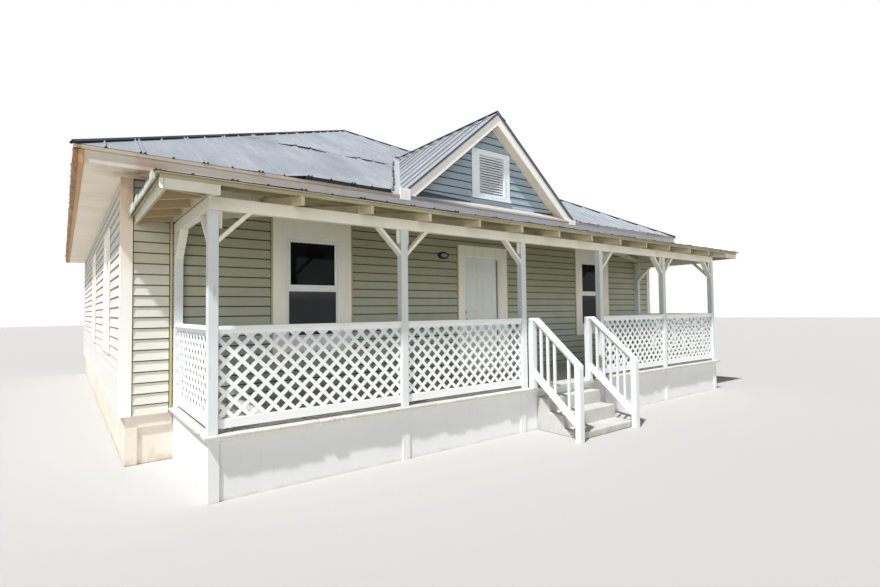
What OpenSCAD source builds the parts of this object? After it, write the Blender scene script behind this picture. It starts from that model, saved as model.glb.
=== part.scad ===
/* [House] */
// Width of the house over its siding
house_w = 11160; // [10900:20:11600]
// Depth of the house over its siding
house_d = 11400; // [11000:20:12400]
// Thickness of the outside walls
wall_t = 140; // [120:5:180]
// Height of the porch floor over the ground
deck_h = 620; // [590:10:660]
// Distance from the porch floor down to the bottom edge of the siding
siding_drop = 54; // [50:2:80]
// Height of the soffit over the porch floor
soffit_rise = 2705; // [2640:5:2800]
// Height of the room's ceiling over the porch floor
ceiling_rise = 2460; // [2440:10:2520]
// Thickness of the ceiling
ceiling_t = 60; // [30:5:90]
// How far the foundation stands behind the siding
foundation_in = 30; // [10:5:50]
// Thickness of the foundation walls
foundation_t = 190; // [170:5:250]
// Height of the room's floor over the porch floor
floor_rise = 30; // [20:2:35]

/* [Main roof] */
// How far the eaves stand out from the siding
eave_out = 455; // [430:5:500]
// Rise of the roof for each unit of run
roof_slope = 0.531; // [0.5:0.01:0.58]
// Height of the fascia boards
fascia_h = 150; // [130:5:170]
// Thickness of the fascia boards
fascia_t = 22; // [18:1:28]
// Upright thickness of the roof covering and its boards
roof_t = 38; // [30:2:50]
// How far the metal passes the fascia
metal_lip = 22; // [12:2:32]
// Thickness of the soffit boards
soffit_t = 16; // [12:1:22]
// Width of one flange of a hip or ridge cap
cap_w = 115; // [90:5:140]
// Thickness of the metal of a cap
cap_t = 6; // [4:1:8]

/* [Front gable] */
// Half width of the gable at the eave line
gable_half = 2070; // [1960:10:2200]
// Rise of the gable roof for each unit of run
gable_slope = 0.84; // [0.8:0.01:0.88]
// How far the gable wall stands in front of the house wall
gable_forward = 250; // [220:5:280]
// Thickness of the gable wall
gable_wall_t = 90; // [70:5:110]
// Width of the vent over its trim
vent_w = 914; // [820:2:960]
// Height of the vent over its trim
vent_h = 870; // [800:5:900]
// Height of the vent's lower edge over the eave line
vent_rise = 250; // [220:5:300]
// Width of the vent's side boards
vent_trim = 158; // [120:2:170]
// Height of the vent's top board
vent_head = 95; // [80:5:110]
// Height of the vent's bottom board
vent_foot = 75; // [65:5:90]
// Number of louvre blades in the vent
louvre_count = 15; // [11:1:17]
// Depth of the rake boards, measured square to the slope
rake_h = 146; // [130:2:170]

/* [Windows and door] */
// Width of a window over its frame
window_w = 812; // [740:2:860]
// Height of a window over its frame
window_h = 1430; // [1360:5:1460]
// Height of a window's frame over the porch floor
window_rise = 750; // [720:5:780]
// Middle of a front window, measured from the middle of the house
front_window_x = 3265; // [3150:5:3350]
// Middle of the nearer side window, measured from the front wall
side_window_near = 2250; // [2100:10:2500]
// Middle of the farther side window, measured from the front wall
side_window_far = 5900; // [5600:10:6200]
// Width of the flat trim round a window
trim_w = 180; // [150:5:190]
// Thickness of the flat trim
trim_t = 25; // [20:1:30]
// Face width of a window's frame
frame_w = 35; // [30:1:40]
// Face width of a sash
sash_w = 38; // [32:1:44]
// Thickness of a sash
sash_t = 32; // [28:1:36]
// Thickness of the glass
glass_t = 6; // [4:1:8]
// Width of the front door
door_w = 864; // [820:4:900]
// Height of the front door
door_h = 2030; // [1990:5:2050]
// Thickness of the front door
door_t = 45; // [40:1:50]
// Gap round the front door
door_gap = 5; // [5:0.5:7]
// Gap under the front door
door_under = 10; // [6:1:12]
// Thickness of the door's jambs
jamb_t = 35; // [30:1:40]
// Width of the flat trim beside the door
door_trim_w = 146; // [130:2:160]
// Height of the flat trim over the door
door_trim_h = 195; // [170:5:200]

/* [Porch] */
// Distance from the front wall to the front of the posts
porch_d = 1800; // [1700:10:1900]
// Middle of an end post, measured from the middle of the house
end_post_x = 5008; // [4940:4:5060]
// Middle of the second post from the left
post_2_x = -2885; // [-3000:5:-2700]
// Middle of the post left of the stairs
post_3_x = -842; // [-900:2:-800]
// Middle of the post right of the stairs
post_4_x = 1026; // [960:2:1100]
// Middle of the second post from the right
post_5_x = 3030; // [2900:5:3150]
// Width of a post
post_w = 92; // [86:2:98]
// Height of the underside of the beams over the porch floor
beam_rise = 2092; // [2050:2:2120]
// Height of the beams
beam_h = 124; // [110:2:140]
// Width of the beams
beam_w = 76; // [70:2:86]
// Reach of a knee brace along the beam and down the post
brace_reach = 310; // [260:5:340]
// Height of the blocks behind the knee braces
block_h = 165; // [140:5:180]
// Height of the boards that make braces, rails and rafters
board_h = 89; // [80:1:96]
// Thickness of those boards
board_t = 38; // [34:1:42]
// How far the deck passes the front of the posts
deck_over = 90; // [70:5:110]
// How far the deck passes the side of an end post
deck_side = 46; // [30:2:60]
// Thickness of the deck
deck_t = 50; // [40:2:54]
// Thickness of the skirt panels
skirt_t = 25; // [18:1:30]
// Width of the battens on the skirt
batten_w = 92; // [70:2:98]

/* [Porch roof] */
// How far the porch roof reaches in front of the posts
porch_eave = 330; // [290:5:380]
// How far the porch roof reaches past the middle of an end post
porch_side = 519; // [490:5:530]
// Rise of the porch roof for each unit of run
porch_slope = 0.165; // [0.14:0.005:0.17]
// Upright height of the porch roof's rafters
rafter_h = 92; // [86:1:96]
// Number of rafters in the porch roof
rafter_count = 14; // [12:1:16]
// Thickness of the flat boards that carry the porch roof's metal
purlin_t = 38; // [30:1:42]
// Width of those boards
purlin_w = 89; // [80:1:96]
// Distance between those boards
purlin_pitch = 640; // [560:10:680]
// Thickness of the porch roof's metal
porch_roof_t = 12; // [8:1:16]
// How far the porch roof's metal passes the boards at its ends
metal_side = 60; // [40:5:70]
// How far the porch roof's metal passes the ends of the rafters
metal_front = 40; // [30:2:50]

/* [Railing] */
// Height of the top of the railing over the porch floor
rail_rise = 1002; // [940:2:1040]
// Height of the bottom rail's underside over the porch floor
rail_gap = 42; // [30:2:60]
// Width of a lattice slat
slat_w = 38; // [32:1:42]
// Thickness of a lattice slat
slat_t = 7; // [5:1:9]
// Distance between lattice slats along the rail
slat_pitch = 151; // [140:1:165]

/* [Stairs] */
// Left side of the concrete steps, measured from the middle of the house
steps_left = -605; // [-625:1:-590]
// Right side of the concrete steps, measured from the middle of the house
steps_right = 620; // [605:1:640]
// Drop from the porch floor to the top step
top_drop = 145; // [135:1:160]
// Height of the slab at the foot of the steps
slab_z = 92; // [70:2:110]
// How far the top step stands out from the posts
top_tread = 222; // [210:2:240]
// Depth of the second step
tread = 254; // [240:2:264]
// Gap between the slab at the foot of the steps and the lower stair posts
slab_gap = 14; // [10:1:20]
// Middle of the left stair rail
rail_left_x = -730; // [-745:1:-715]
// Middle of the right stair rail
rail_right_x = 572; // [555:1:590]
// Width of a stair post
newel_w = 86; // [80:1:90]
// Distance from the posts' front to the front of the lower stair posts
newel_out = 880; // [860:5:930]
// Height of the lower stair posts over the porch floor
newel_rise = 380; // [360:2:400]
// Height of the stair rail's lower edge board over the slab, to its top edge
lower_rail_rise = 127; // [115:1:140]
// Upright height of the stair rail's lower edge board
lower_rail_h = 122; // [100:2:130]
// Upright height of the strip under the handrail
strip_h = 48; // [40:2:56]
// Number of balusters in a stair rail
baluster_count = 5; // [4:1:6]
// Place of the missing baluster on the left, counted from the foot
missing_baluster = 2; // [1:1:4]
// Width of a baluster
baluster_w = 34; // [28:1:38]

/* [Hidden] */

// Half sizes and heights of the house
half_w = house_w / 2;
soffit_z = deck_h + soffit_rise;
eave_z = soffit_z + fascia_h;
floor_z = deck_h + floor_rise;
wall_base = deck_h - siding_drop;
ceiling_z = deck_h + ceiling_rise;
eave_x = half_w + eave_out;
eave_y = house_d / 2 + eave_out;
house_mid = house_d / 2;
apex_z = eave_z + roof_slope * eave_x;
wall_top = eave_z + roof_slope * eave_out;
far = 30000;

// Places of the porch; the front wall's face is y = 0 before the whole is moved to its origin
post_y = -porch_d + post_w / 2;
deck_front = -porch_d - deck_over;
deck_side_x = end_post_x + post_w / 2 + deck_side;
beam_z = deck_h + beam_rise;
beam_top = beam_z + beam_h;
stair_front = -porch_d - newel_out;
post_xs = [-end_post_x, post_2_x, post_3_x, post_4_x, post_5_x, end_post_x];
porch_roof_x = end_post_x + porch_side;
porch_front = -porch_d - porch_eave;

// Moves the whole so that its origin is the middle of its footprint
plan_shift = -(stair_front + house_d + eave_out + metal_lip) / 2;

// Doorway and windows
door_z = floor_z + door_under;
doorway_w = door_w + 2 * door_gap + 2 * jamb_t;
doorway_top = door_z + door_h + door_gap + jamb_t;
door_y = wall_t - 10 - door_t;
hinge_r = 7;
hinge_clear = 0.3;
hinge_x = door_w / 2 + door_gap / 2;
hinge_y = door_y + door_t + hinge_r + hinge_clear;
window_z = deck_h + window_rise;
cut = 10;

module in_place() {
    translate([0, plan_shift, 0]) children();
}

module box(low, high) {
    translate(low) cube(high - low);
}

// Solid under the four slopes of the hip roof, raised by up and widened by out
module hip_volume(up, out) {
    run_x = eave_x + out;
    run_y = eave_y + out;
    low = eave_z + up - roof_slope * out;
    translate([0, house_mid, 0]) intersection() {
        rotate([90, 0, 0]) linear_extrude(far, center = true)
            polygon([[-run_x, 0], [run_x, 0], [run_x, low], [0, low + roof_slope * run_x], [-run_x, low]]);
        rotate([90, 0, 90]) linear_extrude(far, center = true)
            polygon([[-run_y, 0], [run_y, 0], [run_y, low], [0, low + roof_slope * run_y], [-run_y, low]]);
    }
}

// Solid under the two slopes of the front gable, between two planes across the house
module gable_volume(up, out, front, back) {
    run = gable_half + out;
    low = eave_z + up - gable_slope * out;
    translate([0, back, 0]) rotate([90, 0, 0]) linear_extrude(back - front)
        polygon([[-run, 0], [run, 0], [run, low], [0, low + gable_slope * run], [-run, low]]);
}

// Ring standing in the plane of a wall, outside a hole, with its own thickness
module wall_ring(w, h, border, thick) {
    rotate([90, 0, 0]) linear_extrude(thick) difference() {
        translate([-w / 2 - border, -border]) square([w + 2 * border, h + 2 * border]);
        translate([-w / 2, 0]) square([w, h]);
    }
}

// Each window's place: x and y on the wall's outer face, and the angle of its outward side
window_spots = concat(
    [for (s = [-1, 1]) [s * front_window_x, 0, 0]],
    [for (s = [-1, 1]) [s * front_window_x, house_d, 180]],
    [for (y = [side_window_near, side_window_far]) [-half_w, y, -90]],
    [for (y = [side_window_near, side_window_far]) [half_w, y, 90]]);

module at_windows() {
    for (spot = window_spots)
        translate([spot[0], spot[1], window_z]) rotate([0, 0, spot[2]]) children();
}

// Openings cut through the walls
module wall_openings() {
    at_windows() translate([-window_w / 2, -cut, 0]) cube([window_w, wall_t + 2 * cut, window_h]);
    box([-doorway_w / 2, -cut, 0], [doorway_w / 2, wall_t + cut, doorway_top]);
}

// One straight length of wall up to the roof, cut for its openings
module wall_piece(low, high) {
    color([0.62, 0.63, 0.55]) in_place() difference() {
        box([low[0], low[1], wall_base], [high[0], high[1], wall_top]);
        wall_openings();
    }
}

// Walls under the house, with a painted block at each front corner
module foundation() {
    out_x = half_w - foundation_in;
    in_x = out_x - foundation_t;
    front = foundation_in;
    back = house_d - foundation_in;
    pier_w = 140;
    pier_out = 25;
    pier_top = wall_base - 90;
    sill_in = end_post_x + post_w / 2 + 8;
    color([0.83, 0.83, 0.78]) in_place() {
        box([-out_x, front, 0], [out_x, front + foundation_t, wall_base]);
        box([-out_x, back - foundation_t, 0], [out_x, back, wall_base]);
        for (s = [0, 1]) mirror([s, 0, 0]) {
            box([in_x, front + foundation_t, 0], [out_x, back - foundation_t, wall_base]);
            box([out_x - pier_w, front - pier_out, 0], [out_x, front, pier_top]);
            box([sill_in, front - pier_out, pier_top - 60], [out_x - pier_w, front, wall_base]);
            box([out_x - pier_w, front - pier_out, pier_top], [out_x, front, wall_base]);
        }
    }
}

module house_floor() {
    color([0.55, 0.42, 0.3]) in_place()
        box([-half_w + wall_t, wall_t, wall_base], [half_w - wall_t, house_d - wall_t, floor_z]);
}

module ceiling() {
    color([0.9, 0.9, 0.88]) in_place()
        box([-half_w + wall_t, wall_t, ceiling_z],
            [half_w - wall_t, house_d - wall_t, ceiling_z + ceiling_t]);
}

module front_wall_left() {
    wall_piece([-half_w + wall_t, 0], [-doorway_w / 2, wall_t]);
}

module front_wall_right() {
    wall_piece([doorway_w / 2, 0], [half_w - wall_t, wall_t]);
}

module front_wall_over_door() {
    wall_piece([-doorway_w / 2, 0], [doorway_w / 2, wall_t]);
}

module left_wall() {
    wall_piece([-half_w, 0], [-half_w + wall_t, house_d]);
}

module right_wall() {
    wall_piece([half_w - wall_t, 0], [half_w, house_d]);
}

module back_wall() {
    wall_piece([-half_w + wall_t, house_d - wall_t], [half_w - wall_t, house_d]);
}

// Two boards that meet over each corner of the siding
module corner_boards() {
    board_w = 100;
    color([0.9, 0.9, 0.86]) in_place() for (x = [0, 1], y = [0, 1])
        translate([0, y * house_d, 0]) mirror([0, y, 0]) mirror([x, 0, 0]) {
            box([half_w - board_w, -trim_t, wall_base], [half_w + trim_t, 0, soffit_z]);
            box([half_w, 0, wall_base], [half_w + trim_t, board_w, soffit_z]);
        }
}

// Flat boards round the windows, with a deeper board over those on the front
module window_trim() {
    color([0.93, 0.93, 0.9]) in_place() {
        at_windows() wall_ring(window_w, window_h, trim_w, trim_t);
        for (s = [-1, 1])
            box([s * front_window_x - window_w / 2 - trim_w, -trim_t, window_z + window_h + trim_w],
                [s * front_window_x + window_w / 2 + trim_w, 0, head_top]);
    }
}

module window_frames() {
    frame_d = 2 * sash_t + 26;
    color([0.96, 0.96, 0.95]) in_place() at_windows()
        translate([0, frame_d - 12, frame_w])
            wall_ring(window_w - 2 * frame_w, window_h - 2 * frame_w, frame_w, frame_d);
}

// One sash of half the window's height, its lower edge at z and its outer face at y
module sash(y, z) {
    inner_w = window_w - 2 * frame_w;
    sash_h = (window_h - 2 * frame_w + sash_w) / 2;
    translate([0, y + sash_t, z + sash_w])
        wall_ring(inner_w - 2 * sash_w, sash_h - 2 * sash_w, sash_w, sash_t);
}

sash_rise = (window_h - 2 * frame_w - sash_w) / 2;
upper_sash_y = 6;
lower_sash_y = upper_sash_y + sash_t + 0.5;

// Upper sashes in the outer track and lower sashes in the inner one
module window_sashes() {
    color([0.95, 0.95, 0.94]) in_place() at_windows() {
        sash(upper_sash_y, frame_w + sash_rise);
        sash(lower_sash_y, frame_w);
    }
}

module window_glass() {
    pane_w = window_w - 2 * frame_w - 2 * sash_w;
    pane_h = (window_h - 2 * frame_w + sash_w) / 2 - 2 * sash_w;
    color([0.3, 0.36, 0.4, 0.5]) in_place() at_windows()
        for (pane = [[upper_sash_y, frame_w + sash_rise], [lower_sash_y, frame_w]])
            translate([-pane_w / 2, pane[0] + (sash_t - glass_t) / 2, pane[1] + sash_w])
                cube([pane_w, glass_t, pane_h]);
}

// Jambs, head, outer stop and sill of the doorway, with the wide flat trim round them
module door_frame() {
    stop_w = 14;
    reveal = 10;
    inner_w = door_w + 2 * door_gap;
    inner_h = doorway_top - jamb_t;
    trim_in = inner_w / 2 + reveal;
    trim_top = inner_h + reveal;
    color([0.95, 0.95, 0.93]) in_place() {
        difference() {
            box([-doorway_w / 2, 0, wall_base], [doorway_w / 2, wall_t - 10, doorway_top]);
            box([-inner_w / 2, door_y - door_gap, floor_z], [inner_w / 2, wall_t, inner_h]);
            box([-inner_w / 2 + stop_w, -cut, floor_z], [inner_w / 2 - stop_w, wall_t, inner_h - stop_w]);
        }
        difference() {
            box([-trim_in - door_trim_w, -trim_t, deck_h],
                [trim_in + door_trim_w, 0, trim_top + door_trim_h]);
            box([-trim_in, -trim_t - cut, 0], [trim_in, cut, trim_top]);
        }
    }
}

// Barrels on leaves that are fixed to the inner edge of the right jamb
module door_hinges() {
    barrel_h = 100;
    leaf_w = 30;
    leaf_t = 3;
    leaf_x = door_w / 2 + door_gap;
    color([0.6, 0.6, 0.58]) in_place() for (z = [180, 985, door_h - 280])
        translate([0, 0, door_z + z]) union() {
            translate([hinge_x, hinge_y, 0]) cylinder(h = barrel_h, r = hinge_r, $fn = 32);
            translate([leaf_x, wall_t - 10, 0]) cube([leaf_w, leaf_t, barrel_h]);
        }
}

// Sunk fields of the door: three rows of two, as left, bottom, width and height
stile = 112;
field_w = (door_w - 3 * stile) / 2;
kick_h = 240;
low_field = 560;
lock_rail = 250;
mid_field = 625;
frieze_rail = 95;
mid_field_z = kick_h + low_field + lock_rail;
top_field_z = mid_field_z + mid_field + frieze_rail;
all_rows = [[kick_h, low_field], [mid_field_z, mid_field], [top_field_z, door_h - top_field_z - stile]];

module door_fields(depth, shrink) {
    for (row = all_rows, s = [0, 1])
        translate([-door_w / 2 + stile + s * (field_w + stile) + shrink, 0, row[0] + shrink])
            cube([field_w - 2 * shrink, depth, row[1] - 2 * shrink]);
}

module front_door() {
    sunk = 9;
    raised_in = 30;
    color([0.78, 0.8, 0.8]) in_place() translate([0, door_y, door_z]) {
        difference() {
            translate([-door_w / 2, 0, 0]) cube([door_w, door_t, door_h]);
            for (y = [0, door_t]) translate([0, y - sunk, 0]) door_fields(2 * sunk, 0);
        }
        for (y = [sunk / 3, door_t - sunk]) translate([0, y, 0]) door_fields(sunk * 2 / 3, raised_in);
    }
}

knob_z = 905;
bolt_z = 1045;
latch_x = -door_w / 2 + 62;

// A knob and a lock on each face of the door
module door_hardware() {
    rose_r = 31;
    knob_r = 26;
    neck_r = 12;
    color([0.12, 0.12, 0.12]) in_place() for (face = [0, 1])
        translate([latch_x, door_y + door_t / 2, door_z]) mirror([0, 1 - face, 0])
            translate([0, door_t / 2, 0]) rotate([-90, 0, 0]) {
                translate([0, -knob_z, 0]) rotate_extrude($fn = 48)
                    polygon([[0, 0], [rose_r, 0], [rose_r, 5], [neck_r, 9], [neck_r, 30], [knob_r, 40],
                        [knob_r, 52], [18, 62], [0, 62]]);
                translate([0, -bolt_z, 0]) rotate_extrude($fn = 48)
                    polygon([[0, 0], [rose_r, 0], [rose_r - 4, 16], [14, 16], [14, 22], [0, 22]]);
            }
}

// Oval bulkhead lamp on the wall beside the door
module wall_lamp() {
    lamp_x = -928;
    lamp_z = 2070;
    long_r = 35;
    lamp_h = 110;
    color([0.1, 0.1, 0.1]) in_place() translate([lamp_x, 0, deck_h + lamp_z]) rotate([90, 0, 0]) {
        linear_extrude(22) for (s = [-1, 1]) {
            translate([s * long_r, 0]) circle(d = lamp_h + 16, $fn = 64);
            square([2 * long_r, lamp_h + 16], center = true);
        }
        translate([0, 0, 22]) linear_extrude(60) for (s = [-1, 1]) {
            translate([s * long_r, 0]) circle(d = lamp_h, $fn = 64);
            square([2 * long_r, lamp_h], center = true);
        }
    }
}

// Height of a rake board, measured upright
rake_down = rake_h * sqrt(1 + gable_slope * gable_slope);

// Boards under the eaves, between the walls and the fascia, and under the gable's overhang
module soffits() {
    color([0.82, 0.76, 0.64]) in_place() {
        difference() {
            box([-eave_x + fascia_t, -eave_out + fascia_t, soffit_z],
                [eave_x - fascia_t, house_d + eave_out - fascia_t, soffit_z + soffit_t]);
            box([-half_w, 0, 0], [half_w, house_d, far]);
        }
        difference() {
            gable_volume(soffit_t - rake_down, 0, -eave_out + fascia_t, -gable_forward);
            gable_volume(-rake_down, 2 * metal_lip, -far, far);
            hip_volume(roof_t, metal_lip + 1);
        }
    }
}

module fascia() {
    color([0.9, 0.89, 0.84]) in_place() intersection() {
        difference() {
            box([-eave_x, -eave_out, soffit_z], [eave_x, house_d + eave_out, apex_z]);
            box([-eave_x + fascia_t, -eave_out + fascia_t, 0],
                [eave_x - fascia_t, house_d + eave_out - fascia_t, far]);
        }
        hip_volume(0, 0);
    }
}

module main_roof() {
    color([0.62, 0.63, 0.68]) in_place() difference() {
        hip_volume(roof_t, metal_lip);
        hip_volume(0, 2 * metal_lip);
    }
}

// Bent strips over the four hips, the main ridge and the gable's ridge
module roof_caps() {
    reach = cap_w * 2;
    color([0.58, 0.59, 0.64]) in_place() {
        difference() {
            intersection() {
                hip_volume(roof_t + cap_t, metal_lip);
                union() {
                    for (x = [-1, 1], y = [-1, 1]) hip_strip(x, y, reach);
                    box([-cap_w, house_mid - eave_y + eave_x, 0], [cap_w, house_mid + eave_y - eave_x, far]);
                }
            }
            hip_volume(roof_t, metal_lip + 1);
        }
        difference() {
            intersection() {
                gable_volume(roof_t + cap_t, metal_lip, -eave_out - metal_lip, house_mid);
                box([-cap_w, -far, 0], [cap_w, far, far]);
            }
            gable_volume(roof_t, metal_lip + 1, -eave_out - metal_lip - cut, house_mid + cut);
            hip_volume(roof_t, metal_lip + 1);
        }
    }
}

// Upright slab that follows one hip in plan
module hip_strip(sx, sy, reach) {
    corner = [sx * eave_x, house_mid + sy * eave_y];
    translate([corner[0], corner[1], 0]) mirror([sx > 0 ? 1 : 0, 0, 0]) mirror([0, sy > 0 ? 1 : 0, 0])
        rotate([0, 0, 45]) translate([-reach, -reach / 2, 0]) cube([eave_x * sqrt(2) + reach, reach, far]);
}

// Hole of the vent inside its boards
vent_hole_w = vent_w - 2 * vent_trim;
vent_hole_h = vent_h - vent_head - vent_foot;
vent_hole_z = eave_z + vent_rise + vent_foot;

module gable_wall() {
    face = -gable_forward;
    color([0.55, 0.58, 0.56]) in_place() difference() {
        gable_volume(0, 0, face, face + gable_wall_t);
        hip_volume(roof_t, metal_lip);
        translate([-vent_hole_w / 2, face - cut, vent_hole_z])
            cube([vent_hole_w, gable_wall_t + 2 * cut, vent_hole_h]);
    }
}

module gable_roof() {
    color([0.62, 0.63, 0.68]) in_place() difference() {
        gable_volume(roof_t, metal_lip, -eave_out - metal_lip, house_mid);
        gable_volume(0, 2 * metal_lip, -far, far);
        hip_volume(roof_t, metal_lip);
    }
}

module gable_rake_boards() {
    color([0.93, 0.93, 0.9]) in_place() difference() {
        gable_volume(0, 0, -eave_out, -eave_out + fascia_t);
        gable_volume(-rake_down, 2 * metal_lip, -far, far);
        hip_volume(roof_t, metal_lip + 1);
    }
}

// Trim frame with slanting blades in the middle of the gable
module gable_vent() {
    pitch = vent_hole_h / louvre_count;
    color([0.94, 0.94, 0.92]) in_place() translate([0, -gable_forward, vent_hole_z]) {
        rotate([90, 0, 0]) linear_extrude(22) difference() {
            translate([-vent_w / 2, -vent_foot]) square([vent_w, vent_h]);
            translate([-vent_hole_w / 2, 0]) square([vent_hole_w, vent_hole_h]);
        }
        translate([0, -22, 0]) wall_ring(vent_hole_w, vent_hole_h, 38, 14);
        translate([-vent_w / 2 - 20, -40, -vent_foot - 10]) cube([vent_w + 40, 40, 34]);
        for (k = [0 : louvre_count - 1]) translate([-vent_hole_w / 2, 0, k * pitch])
            rotate([90, 0, 90]) linear_extrude(vent_hole_w)
                polygon([[-14, -3], [-14, 4], [18, pitch - 2], [18, pitch - 10]]);
    }
}

module porch_floor() {
    color([0.6, 0.6, 0.58]) in_place()
        box([-deck_side_x, deck_front, deck_h - deck_t], [deck_side_x, 0, deck_h]);
}

skirt_top = deck_h - deck_t;
skirt_x = end_post_x + post_w / 2 - 10;
skirt_y = -porch_d + 10;

// Panels that close the space under the porch, with upright boards below the posts
module porch_skirt() {
    batten_out = 8;
    color([0.92, 0.92, 0.9]) in_place() {
        box([-skirt_x, skirt_y, 0], [skirt_x, skirt_y + skirt_t, skirt_top]);
        for (x = [post_2_x, post_3_x - 60, post_4_x + 60, post_5_x])
            box([x - batten_w / 2, -porch_d - batten_out, 0], [x + batten_w / 2, skirt_y, skirt_top]);
        for (s = [0, 1]) mirror([s, 0, 0]) {
            box([skirt_x - skirt_t, skirt_y + skirt_t, 0], [skirt_x, 0, skirt_top]);
            box([skirt_x - skirt_t, 0, 0], [skirt_x, foundation_in, wall_base]);
            box([skirt_x - batten_w, -porch_d - batten_out, 0], [skirt_x + batten_out, skirt_y, skirt_top]);
            box([skirt_x, skirt_y, 0], [skirt_x + batten_out, -porch_d + batten_w, skirt_top]);
        }
    }
}

// Six posts along the front and one against the wall at each end
module porch_posts() {
    color([0.95, 0.95, 0.93]) in_place() {
        for (x = post_xs)
            box([x - post_w / 2, -porch_d, deck_h], [x + post_w / 2, -porch_d + post_w, beam_z]);
        for (x = [-end_post_x, end_post_x])
            box([x - post_w / 2, -post_w, deck_h], [x + post_w / 2, 0, beam_z]);
    }
}

// Front beam over the posts and a beam back to the wall at each end
module porch_beams() {
    side_in = end_post_x + post_w / 2 - beam_w;
    color([0.94, 0.94, 0.92]) in_place() {
        box([-end_post_x - post_w / 2, -porch_d, beam_z],
            [end_post_x + post_w / 2, -porch_d + beam_w, beam_top]);
        for (s = [0, 1]) mirror([s, 0, 0])
            box([side_in, -porch_d + beam_w, beam_z], [side_in + beam_w, 0, beam_top]);
    }
}

block_w = 38;
block_t = 19;

// Sloping board from a post up to the beam, in the corner at the origin, with a block beside the post
module knee_brace() {
    d = board_t * sqrt(2);
    rotate([90, 0, 0]) translate([0, 0, -board_h / 2]) linear_extrude(board_h)
        polygon([[0, -brace_reach], [brace_reach, 0], [brace_reach - d, 0], [0, -brace_reach + d]]);
    translate([0, -block_t / 2, -block_h]) cube([block_w, block_t, block_h]);
}

module knee_braces() {
    color([0.94, 0.94, 0.92]) in_place() {
        for (i = [0 : len(post_xs) - 1], s = [-1, 1])
            if (!(i == 0 && s == -1) && !(i == len(post_xs) - 1 && s == 1))
                translate([post_xs[i] + s * post_w / 2, -porch_d + post_w / 2, beam_z])
                    mirror([s < 0 ? 1 : 0, 0, 0]) knee_brace();
        for (s = [-1, 1]) {
            translate([s * end_post_x, -porch_d + post_w, beam_z]) rotate([0, 0, 90]) knee_brace();
            translate([s * end_post_x, -post_w, beam_z]) rotate([0, 0, -90]) knee_brace();
        }
    }
}

// Height of the underside of the porch roof's rafters at the edge of its metal
porch_low = beam_top - porch_slope * porch_eave;
// Height of the boards over the front windows, under the ledger where it is lowest
head_top = porch_low + porch_slope * (porch_roof_x - front_window_x - window_w / 2 - trim_w) - 8;

// Solid in front of the wall under the three slopes of the porch roof, raised by up and widened by out
module porch_volume(up, out) {
    low = porch_low + up - porch_slope * out;
    run_x = porch_roof_x + out;
    front = porch_front - out;
    intersection() {
        rotate([90, 0, 90]) linear_extrude(far, center = true)
            polygon([[out, 0], [front, 0], [front, low], [out, low + porch_slope * (out - front)]]);
        translate([0, out + 1, 0]) rotate([90, 0, 0]) linear_extrude(far)
            polygon([[-run_x, 0], [run_x, 0], [run_x, low],
                [0, low + porch_slope * run_x], [-run_x, low]]);
    }
}

// What stands in a plan shape between two heights that follow the porch roof
module porch_layer(from, to) {
    intersection() {
        difference() {
            porch_volume(to, 0);
            porch_volume(from, 100);
        }
        linear_extrude(far) children();
    }
}

rafter_x = end_post_x + 24;
edge_x = porch_roof_x - metal_side;
tail_y = porch_front + metal_front;
plate_x = end_post_x + post_w / 2;

// Plan of the diagonal board in each corner of the porch roof
module hip_plan(side, border) {
    mirror([side, 0]) translate([-porch_roof_x, porch_front]) rotate(-45)
        translate([-board_t / 2 - border, metal_front * 1.5]) square([board_t + 2 * border, 2 * porch_d]);
}

// Plan of the room between the ledger, the end plates and the tails
module rafter_plan() {
    difference() {
        translate([-plate_x + board_t, tail_y]) square([2 * (plate_x - board_t), -tail_y - board_t]);
        for (side = [0, 1]) {
            hip_plan(side, 0);
            mirror([side, 0]) translate([-porch_roof_x, porch_front])
                polygon([[0, 0], [0, far], [far, far]]);
        }
    }
}

module rafters() {
    step = 2 * rafter_x / (rafter_count - 1);
    color([0.93, 0.93, 0.9]) in_place() for (k = [1 : rafter_count - 2])
        porch_layer(0, rafter_h) intersection() {
            rafter_plan();
            translate([-rafter_x + k * step - board_t / 2, -far]) square([board_t, far]);
        }
}

// Ledger on the wall, plates on the side beams, end boards with short boards between, and hip boards
module porch_roof_edge() {
    color([0.93, 0.93, 0.9]) in_place() {
        porch_layer(0, rafter_h) difference() {
            union() {
                translate([-edge_x, -board_t]) square([2 * edge_x, board_t]);
                for (side = [0, 1]) mirror([side, 0]) {
                    translate([-edge_x, tail_y]) square([board_t, -tail_y]);
                    translate([-edge_x, tail_y]) square([edge_x - plate_x + board_t, board_t]);
                    translate([-plate_x, tail_y]) square([board_t, -tail_y]);
                    for (y = outlooker_ys) translate([-edge_x, y]) square([edge_x - plate_x, board_t]);
                }
                for (side = [0, 1]) hip_plan(side, 0);
            }
            translate([-far, 0]) square([2 * far, far]);
        }
    }
}

outlooker_ys = [for (share = [0.75, 0.5, 0.25]) tail_y * share];

// Plan of a band along the three open sides of the porch roof, at a distance in from the edge of its metal
module band_plan(inset, width) {
    side = porch_roof_x - inset - 5;
    difference() {
        translate([-side, porch_front + inset]) square([2 * side, far]);
        translate([-side + width, porch_front + inset + width]) square([2 * (side - width), far]);
    }
}

// Plan of all that is in front of the corner boards
module before_trim() {
    translate([-far, -far]) square([2 * far, far - trim_t]);
}

// Flat boards on the rafters, round the three open sides
module porch_purlins() {
    first = metal_front - 12;
    color([0.9, 0.88, 0.82]) in_place() for (k = [0 : 2])
        porch_layer(rafter_h, rafter_h + purlin_t) intersection() {
            band_plan(first + k * purlin_pitch, purlin_w);
            before_trim();
        }
}

module porch_roof() {
    color([0.62, 0.63, 0.67]) in_place()
        porch_layer(rafter_h + purlin_t, rafter_h + purlin_t + porch_roof_t)
            before_trim();
}

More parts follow.
